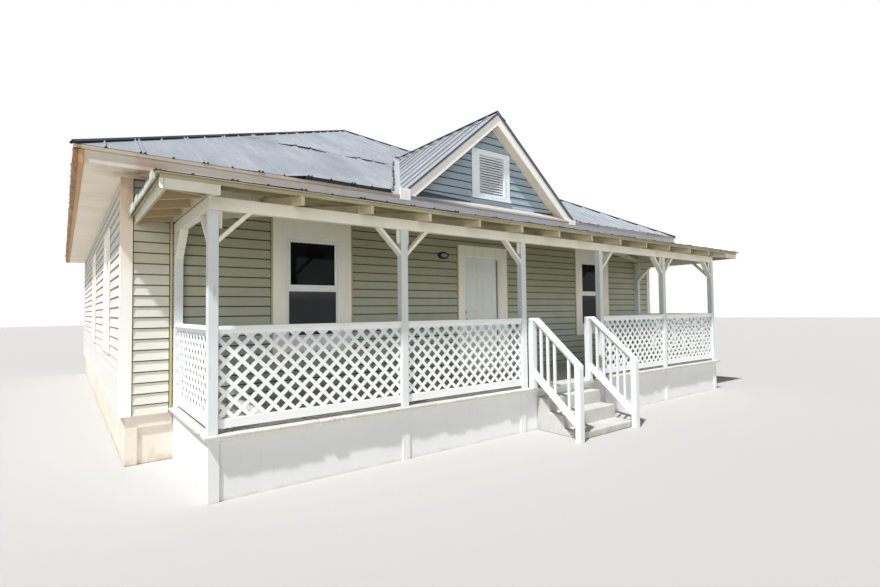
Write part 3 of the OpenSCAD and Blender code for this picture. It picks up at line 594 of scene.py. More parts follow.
    # Louvres of the gable's vent: white, tinted blue as painted sky light
    LOUVRE = Paint("white_louvre_painted_sky_blue", "#EBF1F6", "#DEE5EB", "#A9AEB2", runs=0.2)
    # Folded drip edge of the roof: beige paint, greyer where the gable shades it
    DRIP = Paint("beige_drip_edge", "#BDAD97", "#AC9A80", "#8E6A48", Grain.CAST, 0.0004, stains=0.6,
                 runs=0.4, fades=(Fade(Axis.X, -3.0, -1.2, "#97908C"),))
    # Folded metal over the rakes: dark grey, faintly rusted
    DARK_EDGE = Paint("dark_metal_rake_edge", "#585C62", "#494C50", "#6B5140", Grain.CAST, 0.0004,
                      stains=0.6, runs=0.3)
    # Rusted sheet ends at the left eave: orange-brown, pitted, with black gaps of painted shade
    RUSTY = Paint("rusty_eave_board", "#A5835C", "#8F6038", "#6B4226", Grain.CAST, 0.0012, stains=0.8,
                  runs=0.7, chips=0.9, boards=0.8, shade_colour="#2B1C14")
    # Strip below the rusty ends, stained tan by them
    EAVE_STRIP = Paint("tan_eave_strip", "#C79E70", "#B58857", "#8E5C33", Grain.ALONG_Y, 0.0006, stains=0.6,
                       runs=0.3, chips=0.3)
    # Rafters: thin old paint over weathered pine
    RAFTER = Paint("weathered_rafter", "#CFC2A8", "#B5A688", "#7F6E52", Grain.ALONG_Y, 0.001, stains=0.6,
                   runs=0.2, chips=0.6)
    # Boards below the porch roof: water-stained and matt
    UNDERSIDE = Paint("stained_roof_boards", "#C5BEA2", "#ADA588", "#857A5F", Grain.ALONG_Y, 0.0012,
                      stains=0.7, runs=0.0, chips=0.5)
    # Edge boards of the porch roof: peeling white, and bare wood in the short overhangs
    EDGE_BOARD = Paint("worn_white_edge_board", "#DCD9CC", "#C3BCA8", "#8C7C60", grain_depth=0.001,
                       stains=0.7, runs=0.4, chips=0.8, bare="#B5A182")
    # Woven insect screen over a dark room: matt grey, its upper part paler as a painted reflection
    SCREEN = Paint("grey_insect_screen", "#1F2426", "#2B3133", "#3A3F40", Grain.CAST, 0.0003, stains=0.5,
                   runs=0.2, roughness=0.7,
                   fades=(Fade(Axis.Z, SIZES.deck + 1.28, SIZES.deck + 1.42, "#525C61", 0.7),))
    # Folded apron below the gable: pale grey, dark in the left rake's shade
    APRON = Paint("pale_metal_apron", "#B8B3AE", "#ABA59E", "#8A745C", grain_depth=0.0003, runs=0.2,
                  fades=(Fade(Axis.X, -0.6, -1.3, "#5C636A"),))
    # Old galvanized sheets on the hip roof, and their brighter and dirtier neighbours
    ROOF = RoofSheet()
    GABLE_ROOF = RoofSheet("bright_gable_sheet", "#888E95", "#999EA4", "#70757C")
    PORCH_ROOF = RoofSheet("darkened_porch_sheet", "#5E6369", "#74797F", "#44484D")
    SHEET_END = RoofSheet("pale_sheet_end", "#B9BBB0", "#C9CBC1", "#9A9B86", "#7A6A4C", on_uv=False)
    # Rolled caps of coated steel: slate grey and dull
    CAP = RoofSheet("slate_grey_ridge_cap", "#262C34", "#343C46", "#20252B", "#4A382B", on_uv=False,
                    shine=0.08)
    # Newer flashing in the valleys: still bright
    FLASHING = RoofSheet("bright_valley_flashing", "#8E959D", "#A2A9B0", "#7A8088", "#85634E", on_uv=False)
    # Window glass before the dark room, and the lamp's smoked lens, both with clouds of painted reflection
    GLASS = Pane()
    LENS = Pane("smoked_lamp_lens", "#9C9589", "#B3ADA1", 0.5)
    # Black enamel of the lamp and the door's knobs, and brushed steel of the hinges and lock cylinders
    BLACK = Ironwork("black_enamel", "#0B0B0C", "#1F1E1B", 0.0, 0.5)
    STEEL = Ironwork("brushed_steel", "#A9A8A2", "#8A8476", 0.9, 0.35)
    # Cast concrete of the steps, and the foundation's painted blocks
    CONCRETE = Masonry("cast_concrete", "#C0C0BC", "#B2B1AB", "#97928A")
    BLOCK = Masonry("painted_foundation", "#DFD5C9", "#D0C5B7", "#A3937A")

    made: dict[str, bpy.types.Material] = {}

    @classmethod
    def get(cls, finish: Finish) -> bpy.types.Material:
        """The material of one finish."""
        if finish.name not in cls.made:
            cls.made[finish.name] = finish.material()
        return cls.made[finish.name]


class Shop:
    """Collects boards and other closed forms in one mesh, each with its own shade number."""

    def __init__(self, seed: int) -> None:
        """Starts an empty mesh with its own random numbers."""
        self.bm = bmesh.new()
        self.rng = random.Random(seed)
        self.take_layers()

    def take_layers(self) -> None:
        """Finds or makes the layers that hold each face's shade number and its amount of painted shade."""
        layers = self.bm.faces.layers.float
        self.shade = layers.get("board") or layers.new("board")
        self.gap = layers.get("gap") or layers.new("gap")

    def mark(self, verts: Iterable[bmesh.types.BMVert], gap: float = 0.0) -> list[bmesh.types.BMVert]:
        """Gives the faces of one form one random shade number.

        Args:
            verts: the form's corners.
            gap: 1 where it is painted dark as shade in a recess.

        Returns:
            The corners.
        """
        verts = list(verts)
        number = self.rng.random()
        for face in {f for v in verts for f in v.link_faces}:
            face[self.shade] = number
            face[self.gap] = gap
        return verts

    def board(self, low: Sequence[float], high: Sequence[float],
              gap: float = 0.0) -> list[bmesh.types.BMVert]:
        """Adds a square-edged board between two corners.

        Args:
            low: lowest corner.
            high: highest corner.
            gap: 1 where it is painted dark as shade in a recess.

        Returns:
            Its corners.
        """
        low, high = Vector(low), Vector(high)
        size = high - low
        matrix = Matrix.Translation((low + high) / 2) @ Matrix.Diagonal((size.x, size.y, size.z, 1.0))
        return self.mark(bmesh.ops.create_cube(self.bm, size=1.0, matrix=matrix)["verts"], gap)

    def shaped(self, place: Place, gap: float = 0.0) -> list[bmesh.types.BMVert]:
        """Adds a board whose corners a function places.

        Args:
            place: gives each corner from its 0 or 1 along each of the board's own directions.
            gap: 1 where it is painted dark as shade in a recess.

        Returns:
            Its corners.
        """
        verts = bmesh.ops.create_cube(self.bm, size=1.0)["verts"]
        for vert in verts:
            vert.co = place(*(float(c > 0) for c in vert.co))
        return self.mark(verts, gap)

    def spun(self, profile: Sequence[Span], centre: Vector, axis: Vector, steps: int = 28) -> None:
        """Adds a turned form.

        Args:
            profile: pairs of radius and height over the centre, closed on the axis at both ends.
            centre: foot of the form on its axis.
            axis: direction of its axis.
            steps: steps of the turn.
        """
        side = axis.orthogonal().normalized()
        verts = [self.bm.verts.new(centre + side * radius + axis * high) for radius, high in profile]
        edges = [self.bm.edges.new(pair) for pair in zip(verts, verts[1:])]
        bmesh.ops.spin(self.bm, geom=[*verts, *edges], cent=centre, axis=axis, angle=math.tau, steps=steps,
                       use_merge=True)
        bmesh.ops.remove_doubles(self.bm, verts=self.bm.verts, dist=0.00005)

    def copy_of(self, name: str) -> list[list[bmesh.types.BMVert]]:
        """Takes in a merged copy of a node's mesh.

        Args:
            name: the node.

        Returns:
            The corners of each of its separate forms, in the mesh's order.
        """
        self.bm.from_mesh(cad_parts[name].data)
        self.take_layers()
        bmesh.ops.remove_doubles(self.bm, verts=self.bm.verts, dist=WELD_DISTANCE)
        left, forms = set(self.bm.verts), []
        for first in list(self.bm.verts):
            if first not in left:
                continue
            left.remove(first)
            form, edge = [], [first]
            while edge:
                vert = edge.pop()
                form.append(vert)
                beside = {e.other_vert(vert) for e in vert.link_edges} & left
                left -= beside
                edge.extend(beside)
            forms.append(form)
        return forms

    def ease(self, width: float, segments: int = 1, angle: float = 0.5) -> None:
        """Rounds every sharp edge.

        Args:
            width: width of the rounding.
            segments: its steps.
            angle: edges that turn by more than this are sharp.
        """
        bmesh.ops.recalc_face_normals(self.bm, faces=self.bm.faces)
        edges = [e for e in self.bm.edges if e.is_manifold and e.calc_face_angle(0.0) > angle]
        bmesh.ops.bevel(self.bm, geom=edges, offset=width, offset_type="OFFSET", affect="EDGES",
                        segments=segments, profile=0.5, material=-1, clamp_overlap=True)

    def piece(self, name: str, finish: Finish, slot: str, body: Body = Body.HOUSE, smooth: bool = False,
              recalc: bool = True) -> bpy.types.Object:
        """Turns the mesh into a finished piece that rides on a body.

        Args:
            name: the piece's name.
            finish: its finish.
            slot: the record's material slot; not used.
            body: the body it moves with.
            smooth: whether its faces are shaded smooth.
            recalc: whether its closed forms get their faces turned outwards.

        Returns:
            The piece.
        """
        if recalc:
            bmesh.ops.recalc_face_normals(self.bm, faces=self.bm.faces)
        mesh = bpy.data.meshes.new(name)
        self.bm.to_mesh(mesh)
        self.bm.free()
        mesh.shade_flat()
        if smooth:
            mesh.shade_smooth()
            mesh.set_sharp_from_angle(angle=0.6)
        piece = bpy.data.objects.new(name, mesh)
        bpy.context.scene.collection.objects.link(piece)
        mesh.materials.append(Finishes.get(finish))
        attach(piece, body.value)
        LOG.info("%s: %d faces", name, len(mesh.polygons))
        return piece


def dress(name: str, finish: Finish, ease: float = 0.0, segments: int = 2) -> None:
    """Gives a node of the frame its finish and eases its edges.

    Args:
        name: the node.
        finish: its finish.
        ease: how far its sharp edges are rounded, or 0.
        segments: steps of the rounding.
    """
    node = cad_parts[name]
    node.data.materials.clear()
    node.data.materials.append(Finishes.get(finish))
    if ease:
        weld = node.modifiers.new("joined_corners", "WELD")
        weld.merge_threshold = WELD_DISTANCE
        bevel = node.modifiers.new("eased_edges", "BEVEL")
        bevel.width = ease
        bevel.segments = segments
        bevel.limit_method = "ANGLE"
        bevel.angle_limit = math.radians(30)
        bevel.use_clamp_overlap = True
    LOG.info("%s dressed as %s", name, finish.name)


def add_gauge(piece: bpy.types.Object, gauge: float) -> bpy.types.Object:
    """Gives a piece of sheet metal its thickness, inwards.

    Args:
        piece: the piece.
        gauge: its thickness.

    Returns:
        The piece.
    """
    shell = piece.modifiers.new("gauge", "SOLIDIFY")
    shell.thickness = gauge
    shell.offset = -1.0
    return piece


@dataclass
class WallFace:
    """Outer face of one wall, with the rectangles that siding leaves out."""

    name: str
    origin: Vector
    along: Vector
    outward: Vector
    span: Span
    finish: Paint
    holes: list[tuple[float, float, float, float]] = field(default_factory=list)
    top: float = SIZES.soffit
    base: float = SIZES.wall_base
    framed: bool = True

    def block(self, run: Span, proud: Span, rise: Span) -> Place:
        """Places a block on the wall.

        Args:
            run: its two ends along the wall.
            proud: how far its back and front stand out.
            rise: its lower and upper end.

        Returns:
            The function that places its corners.
        """
        def place(s: float, out: float, z: float) -> Vector:
            """One corner of the block."""
            on_wall = self.origin + self.along * part(run, s) + UP * part(rise, z)
            return on_wall + self.outward * part(proud, out)
        return place

    def rim(self, shop: Shop, run: Span, proud: Span, rise: Span, width: float) -> None:
        """Adds four boards just inside a rectangle.

        Args:
            shop: mesh that collects the boards.
            run: the rectangle's two ends along the wall.
            proud: how far the boards' back and front stand out.
            rise: the rectangle's lower and upper end.
            width: the boards' width.
        """
        for edges in ((run[0], run[0] + width), (run[1] - width, run[1])):
            shop.shaped(self.block(edges, proud, rise))
        for edges in ((rise[0], rise[0] + width), (rise[1] - width, rise[1])):
            shop.shaped(self.block((run[0] + width, run[1] - width), proud, edges))


@dataclass
class Channels:
    """Receiving channels of the siding: a tan strip round each surround, with a reveal beside it painted dark
    as shade.
    """

    face: float = 0.024
    proud: float = 0.02
    reveal: float = 0.009
    back: float = -0.002
    reveal_proud: float = 0.004

    @property
    def reach(self) -> float:
        """How far the channel and its reveal stand off the surround."""
        return self.face + self.reveal

    def upright(self, shop: Shop, wall: WallFace, edge: float, side: int, rise: Span,
                strip: bool = True) -> None:
        """Adds the channel that stands on one side of an edge.

        Args:
            shop: mesh that collects the strips.
            wall: the wall.
            edge: place of the surround's edge along the wall.
            side: 1 where the siding lies beyond the edge, -1 where it lies before it.
            rise: lower and upper end.
            strip: whether the tan strip stands between the edge and the reveal.
        """
        start = edge + side * self.face if strip else edge
        if strip:
            shop.shaped(wall.block((edge, start), (self.back, self.proud), rise))
        beside = (start, start + side * self.reveal)
        # The reveal is painted dark as shade
        shop.shaped(wall.block(beside, (self.back, self.reveal_proud), rise), 1.0)

    def build(self, walls: Sequence[WallFace]) -> None:
        """Frames every opening and closes the siding at the corner boards and the porch's left end.

        Args:
            walls: the walls, the front one first.
        """
        shop = Shop(90)
        for wall in walls:
            for left, right, low, high in wall.holes:
                over_sill = low > wall.base
                rise = (max(low, wall.base) - self.face * over_sill, min(high, wall.top))
                self.upright(shop, wall, left, -1, rise)
                self.upright(shop, wall, right, 1, rise)
                if over_sill:
                    shop.shaped(wall.block((left, right), (self.back, self.proud), (low - self.face, low)))
            self.upright(shop, wall, wall.span[0], 1, (wall.base, wall.top), False)
            self.upright(shop, wall, wall.span[1], -1, (wall.base, wall.top), False)
        front = walls[0]
        run = (-SIZES.end_strip, self.face - SIZES.end_strip)
        shop.shaped(front.block(run, (self.back, self.proud + self.reveal_proud), (front.base, front.top)))
        shop.piece("siding_channels", Finishes.CHANNEL, "siding")


@dataclass
class Windows:
    """Meeting rails and insect screens of the sash windows."""

    half: float = 0.371
    sill: float = 0.215
    tall: float = 1.36
    lowest: float = 1.0
    play: float = 0.002
    rail: Span = (-0.036, 0.044)
    rail_depth: Span = (-0.03, -0.001)
    lip: Span = (0.006, 0.02)
    lip_depth: Span = (-0.02, 0.004)
    frame_w: float = 0.014
    frame_depth: Span = (-0.034, -0.006)
    screen_depth: Span = (-0.026, -0.023)
    tuck: float = 0.01

    def build(self, walls: Sequence[WallFace]) -> None:
        """Fits every window.

        Args:
            walls: the walls. Their openings that start above the lowest sill are windows.
        """
        rails, screens = Shop(260), Shop(261)
        for wall in walls:
            for left, right, low, _ in wall.holes:
                if low < self.lowest:
                    continue
                middle, foot = (left + right) / 2, low + self.sill
                run = (middle - self.half + self.play, middle + self.half - self.play)
                centre = foot + self.tall / 2
                for rise, depth in ((self.rail, self.rail_depth), (self.lip, self.lip_depth)):
                    rails.shaped(wall.block(run, depth, (centre + rise[0], centre + rise[1])))
                lower = (foot + 2 * self.play, centre + self.rail[0] + self.play / 2)
                wall.rim(rails, run, self.frame_depth, lower, self.frame_w)
                inner = (run[0] + self.tuck, run[1] - self.tuck)
                screens.shaped(wall.block(inner, self.screen_depth, (lower[0] + self.tuck, lower[1])))
        rails.ease(0.002)
        rails.piece("sash_meeting_rails", Finishes.VINYL, "vinyl")
        screens.piece("insect_screens", Finishes.SCREEN, "vinyl")


@dataclass
class Entrance:
    """Mouldings of the front door's six panels, its knobs and bolts, and the lamp beside it."""

    stile: float = 0.112
    rows: tuple[Span, ...] = ((0.24, 0.8), (1.05, 1.675), (1.77, 1.918))
    bead: float = 0.02
    bead_depth: Span = (-0.006, 0.0045)
    bead_lap: float = 0.004
    # Place of the strip of painted jamb shadow
    strip_x: Span = (-0.022, 0.014)
    strip_y: Span = (-0.014, -0.0065)
    latch_x: float = -0.37
    knob_z: float = 0.905
    bolt_z: float = 1.045
    knob: tuple[Span, ...] = ((0.0, 0.0), (0.031, 0.0), (0.0315, 0.003), (0.028, 0.007), (0.015, 0.009),
                              (0.0115, 0.014), (0.0115, 0.025), (0.016, 0.029), (0.0235, 0.034),
                              (0.0275, 0.042), (0.0272, 0.05), (0.023, 0.0565), (0.014, 0.061), (0.0, 0.062))
    bolt: tuple[Span, ...] = ((0.0, 0.0), (0.031, 0.0), (0.0315, 0.004), (0.029, 0.013), (0.026, 0.0165),
                              (0.015, 0.018), (0.0145, 0.022), (0.0, 0.022))
    cylinder: tuple[Span, ...] = ((0.0, 0.0), (0.0085, 0.0), (0.008, 0.0022), (0.002, 0.0022), (0.0, 0.0012))
    cylinder_seat: float = 0.0005
    lamp_x: float = -0.928
    lamp_z: float = 2.07
    rings: tuple[tuple[float, float, float, float], ...] = (
        (0.118, 0.069, 0.0, 0.016), (0.112, 0.064, 0.014, 0.036), (0.104, 0.057, 0.03, 0.052))
    lens_out: float = 0.046
    lens_half: tuple[float, float, float] = (0.074, 0.036, 0.036)

    def mouldings(self) -> None:
        """Adds the raised bead round each of the leaf's panels, on both faces."""
        low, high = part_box("front_door")
        shop = Shop(270)
        wide = (high.x - low.x - 3 * self.stile) / 2
        lap = self.bead_lap
        for level, outward in ((low.y, -BACK), (high.y, BACK)):
            face = WallFace("leaf", BACK * level, RIGHT, outward, (low.x, high.x), Finishes.DOOR)
            for start, end in self.rows:
                rise = (low.z + start - lap, low.z + end + lap)
                for left in (low.x + self.stile, low.x + 2 * self.stile + wide):
                    face.rim(shop, (left - lap, left + wide + lap), self.bead_depth, rise, self.bead)
        shop.ease(0.003, 2)
        shop.piece("door_mouldings", Finishes.DOOR, "door", Body.DOOR)

    def jamb_shadow_board(self) -> None:
        """Adds a dark strip on the jamb before the leaf's hinged edge, as the painted shadow of the jamb's
        return.
        """
        low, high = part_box("front_door")
        shop = Shop(273)
        shop.board((high.x + self.strip_x[0], low.y + self.strip_y[0], low.z),
                   (high.x + self.strip_x[1], low.y + self.strip_y[1], high.z - 0.01))
        shop.ease(0.0015)
        shop.piece("painted_shadow_on_jamb", Finishes.JAMB_SHADOW, "trim")

    def hardware(self) -> None:
        """Turns the knobs and bolts, with a steel cylinder in each outer one."""
        low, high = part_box("front_door")
        shop, keys = Shop(271), Shop(272)
        turned = ((self.knob_z, self.knob), (self.bolt_z, self.bolt))
        for level, outward in ((low.y, -BACK), (high.y, BACK)):
            for rise, profile in turned:
                shop.spun(profile, Vector((self.latch_x, level, low.z + rise)), outward)
        for rise, profile in turned:
            tip = Vector((self.latch_x, low.y - profile[-1][1] + self.cylinder_seat, low.z + rise))
            keys.spun(self.cylinder, tip, -BACK)
        for each in (shop, keys):
            each.mark(each.bm.verts)
        turned_piece = shop.piece("turned_door_hardware", Finishes.BLACK, "hardware", Body.DOOR, True)
        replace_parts(turned_piece, "door_hardware")
        keys.piece("lock_cylinders", Finishes.STEEL, "hardware", Body.DOOR, True)

    def lamp(self) -> None:
        """Builds the oval lamp: black back plate and rings round a domed lens."""
        place = Vector((self.lamp_x, SIZES.front, SIZES.deck + self.lamp_z))
        shop = Shop(280)
        turn = Matrix.Rotation(math.pi / 2, 4, "X")
        for wide, tall, start, end in self.rings:
            matrix = Matrix.Translation(place - BACK * ((start + end) / 2)) @ turn
            matrix @= Matrix.Diagonal((1.0, tall / wide, 1.0, 1.0))
            ring = bmesh.ops.create_cone(shop.bm, cap_ends=True, segments=48, radius1=wide,
                                         radius2=wide * 0.95, depth=end - start, matrix=matrix)
            shop.mark(ring["verts"])
        shop.ease(0.003, 2, 0.6)
        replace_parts(shop.piece("bulkhead_lamp", Finishes.BLACK, "lamp", smooth=True), "wall_lamp")
        shop = Shop(281)
        matrix = Matrix.Translation(place - BACK * self.lens_out) @ Matrix.Diagonal((*self.lens_half, 1.0))
        dome = bmesh.ops.create_uvsphere(shop.bm, u_segments=36, v_segments=18, radius=1.0, matrix=matrix)
        shop.mark(dome["verts"])
        shop.piece("lamp_lens", Finishes.LENS, "lamp", smooth=True)

    def build(self) -> None:
        """Builds everything at the doorway."""
        self.mouldings()
        self.jamb_shadow_board()
        self.hardware()
        self.lamp()


@dataclass
class LapSiding:
    """Lapped boards on the walls and the gable: each course's butt edge stands proud over a recess painted
    dark as shade.
    """

    exposure: float = 0.127
    butt: float = 0.019
    head: float = 0.002
    back: float = -0.003
    recess: float = 0.016
    sliver: float = 0.02
    length: float = 3.66
    shortest: float = 0.4
    joint: float = 0.002
    channels: Channels = field(default_factory=Channels)
    corner_w: float = 0.1
    window_x: float = 3.265
    side_windows: Span = (2.25, 5.9)
    window_half: float = 0.586
    window_low: float = 1.19
    window_high: float = 2.98
    front_high: float = 3.05
    door_half: float = 0.593
    door_high: float = 2.9
    gable_reach: float = 2.2
    gable_rise: Span = (0.12, 1.75)
    vent_half: float = 0.457
    vent_rise: Span = (0.25, 1.12)
    # Wedges of painted shadow along the gable's foot
    shadow_wedge_out: float = 0.021
    shadow_wedge_end: float = 0.04
    shadow_wedges: tuple[tuple[float, float, float], ...] = ((-1.97, -0.5, 0.1), (1.97, 1.1, 0.075))

    def openings(self, middles: Iterable[float], high: float) -> list[tuple[float, float, float, float]]:
        """The rectangles of a row of windows with their surrounds."""
        return [(c - self.window_half, c + self.window_half, self.window_low, high) for c in middles]

    def faces(self) -> list[WallFace]:
        """The four walls, with the front one in two parts."""
        s = SIZES
        pair = (-self.window_x, self.window_x)
        edge = s.side - self.corner_w
        run = (s.front + self.corner_w, s.back - self.corner_w)
        front = self.openings(pair, self.front_high)
        front.append((-self.door_half, self.door_half, 0.0, self.door_high))
        back = self.openings(pair, self.window_high)
        side = self.openings([s.front + c for c in self.side_windows], self.window_high)
        return [
            WallFace("front_siding", BACK * s.front, RIGHT, -BACK, (self.channels.face - s.end_strip, edge),
                     Finishes.FRONT_SIDING, front),
            WallFace("end_bay_siding", BACK * s.front, RIGHT, -BACK, (-edge, -s.end_strip),
                     Finishes.END_SIDING),
            WallFace("back_siding", BACK * s.back, RIGHT, BACK, (-edge, edge), Finishes.BACK_SIDING, back),
            WallFace("left_siding", RIGHT * -s.side, BACK, -RIGHT, run, Finishes.SUN_SIDING, side),
            WallFace("right_siding", RIGHT * s.side, BACK, RIGHT, run, Finishes.BACK_SIDING, side),
        ]

    def strip(self, shop: Shop, wall: WallFace, course: float, run: Span, rise: Span) -> None:
        """Adds one length of a course.

        Args:
            shop: mesh that collects the boards.
            wall: the wall.
            course: height of the course's butt edge.
            run: its two ends along the wall.
            rise: its lower and upper edge.
        """
        def place(s: float, out: float, z: float) -> Vector:
            """One corner of the board, whose face leans back to its upper edge."""
            level = part(rise, z)
            proud = self.butt + (self.head - self.butt) * (level - course) / self.exposure
            on_wall = wall.origin + wall.along * part(run, s) + UP * level
            return on_wall + wall.outward * (proud if out else self.back)
        shop.shaped(place)

    def lengths(self, shop: Shop, wall: WallFace, course: float, run: Span, rise: Span) -> None:
        """Fills one stretch of a course with boards that butt at random places.

        Args:
            shop: mesh that collects the boards.
            wall: the wall.
            course: height of the course's butt edge.
            run: the stretch's two ends along the wall.
            rise: the boards' lower and upper edge.
        """
        at, end = run
        while end - at > self.sliver:
            cut = min(end, at + self.length * shop.rng.uniform(0.35, 1.0))
            if end - cut < self.shortest:
                cut = end
            self.strip(shop, wall, course, (at, cut - (0.0 if cut == end else self.joint)), rise)
            at = cut

    def course(self, shop: Shop, wall: WallFace, course: float) -> None:
        """Adds one course between the wall's openings, with the recess under the next one painted dark as
        shade.

        Args:
            shop: mesh that collects the boards.
            wall: the wall.
            course: height of the course's butt edge.
        """
        thin = self.recess
        top = min(course + self.exposure, wall.top)
        away = self.channels.reach if wall.framed else self.channels.reveal
        foot = self.channels.face if wall.framed else 0.0
        holes = [(h[0] - away, h[1] + away, h[2] - foot, h[3]) for h in wall.holes]
        levels = sorted({course, top, *(z for h in holes for z in h[2:] if course + thin < z < top - thin)})
        for low, high in zip(levels, levels[1:]):
            shut = sorted((h[0], h[1]) for h in holes if h[2] < high - thin and h[3] > low + thin)
            start = wall.span[0] + self.channels.reveal
            last = wall.span[1] - self.channels.reveal
            recess = self.recess if high == top else 0.0
            for begin, end in [*shut, (last, last)]:
                self.lengths(shop, wall, course, (start, begin), (low, high - recess))
                if recess and begin - start > self.sliver:
                    # The recess under the next course's butt is painted dark as shade
                    dark = wall.block((start, begin), (self.back, self.head), (high - recess, high))
                    shop.shaped(dark, 1.0)
                start = end

    def clad(self, shop: Shop, wall: WallFace, top: float) -> None:
        """Adds every course of a wall.

        Args:
            shop: mesh that collects the boards.
            wall: the wall.
            top: height at which no new course starts.
        """
        level = wall.base
        while level < top:
            self.course(shop, wall, level)
            level += self.exposure

    def build(self) -> None:
        """Clads the four walls and the gable."""
        walls = self.faces()
        self.channels.build(walls)
        Windows().build(walls)
        for seed, wall in enumerate(walls):
            shop = Shop(100 + seed)
            self.clad(shop, wall, wall.top - 0.01)
            shop.piece(wall.name, wall.finish, "siding")
        self.gable()

    def shadow_wedge(self, shop: Shop, foot: float, run: Span, tall: float) -> None:
        """Adds a wedge painted dark as shadow along the gable's foot, where the lowest course stands off the
        roof.

        Args:
            shop: mesh that collects the boards.
            foot: height of its lower edge.
            run: its tall end and its low end.
            tall: height of the tall end.
        """
        def place(s: float, out: float, z: float) -> Vector:
            """One corner of the wedge."""
            level = foot + z * (tall - (tall - self.shadow_wedge_end) * s)
            return Vector((part(run, s), SIZES.gable_face - self.shadow_wedge_out * out, level))
        shop.shaped(place, 1.0)

    def gable(self) -> None:
        """Clads the gable's triangle over the roof."""
        s = SIZES
        shop = Shop(110)
        low, high = (s.eave + z for z in self.vent_rise)
        wall = WallFace("gable_siding", BACK * s.gable_face, RIGHT, -BACK,
                        (-self.gable_reach, self.gable_reach), Finishes.GABLE_SIDING,
                        [(-self.vent_half, self.vent_half, low, high)],
                        s.eave + self.gable_rise[1], s.eave + self.gable_rise[0], False)
        foot = s.roof_level + s.slope * (s.gable_face - s.eave_line) - 0.03
        # Painted shadow under the lowest course
        for start, end, tall in self.shadow_wedges:
            self.shadow_wedge(shop, foot, (start, end), tall)
        self.channels.upright(shop, wall, -self.vent_half, -1, (low, high), False)
        self.channels.upright(shop, wall, self.vent_half, 1, (low, high), False)
        self.clad(shop, wall, wall.top)
        for side in (-1, 1):
            lean = Vector((side * s.gable_slope, 0, 1)).normalized()
            geom = [*shop.bm.verts, *shop.bm.edges, *shop.bm.faces]
            corner = Vector((side * s.gable_half, 0, s.eave + 0.005))
            cut = bmesh.ops.bisect_plane(shop.bm, geom=geom, plane_co=corner, plane_no=lean, clear_outer=True)
            edges = [e for e in cut["geom_cut"] if isinstance(e, bmesh.types.BMEdge)]
            bmesh.ops.holes_fill(shop.bm, edges=edges)
        shop.piece(wall.name, wall.finish, "siding")


@dataclass
class RoofPlane:
    """One slope of a roof in its own directions: along the eave, up the slope and out of it."""

    name: str
    eave: Vector
    outward: Vector
    slope: float
    half: float
    rise_run: float
    phase: float = 0.0
    mitres: tuple[bool, bool] = (True, True)
    cuts: list[tuple[Vector, Vector]] = field(default_factory=list)
    loose: Sequence[tuple[float, float, float, int]] = ()

    @property
    def along(self) -> Vector:
        """Direction along the eave, to the right as seen from outside."""
        return UP.cross(self.outward)

    @property
    def up(self) -> Vector:
        """Direction up the slope."""
        return (UP * self.slope - self.outward).normalized()

    @property
    def normal(self) -> Vector:
        """Direction out of the slope."""
        return self.along.cross(self.up)

    def lift(self, s: float, layer: int) -> float:
        """How far a course's lower edge has come loose at a place along the eave."""
        return sum(tall for low, high, tall, course in self.loose if course == layer and low < s < high)

    def point(self, s: float, t: float, h: float) -> Vector:
        """Place from its distance along the eave, up the slope and off the surface."""
        return self.eave + self.along * s + self.up * t + self.normal * h

    def all_cuts(self) -> list[tuple[Vector, Vector]]:
        """Planes that trim the sheets, with their normals on the waste side."""
        planes = list(self.cuts)
        for side, mitred in zip((-1, 1), self.mitres):
            if mitred:
                corner = self.eave + self.along * side * self.half
                planes.append((corner, (self.along * side - self.outward).normalized()))
        return planes


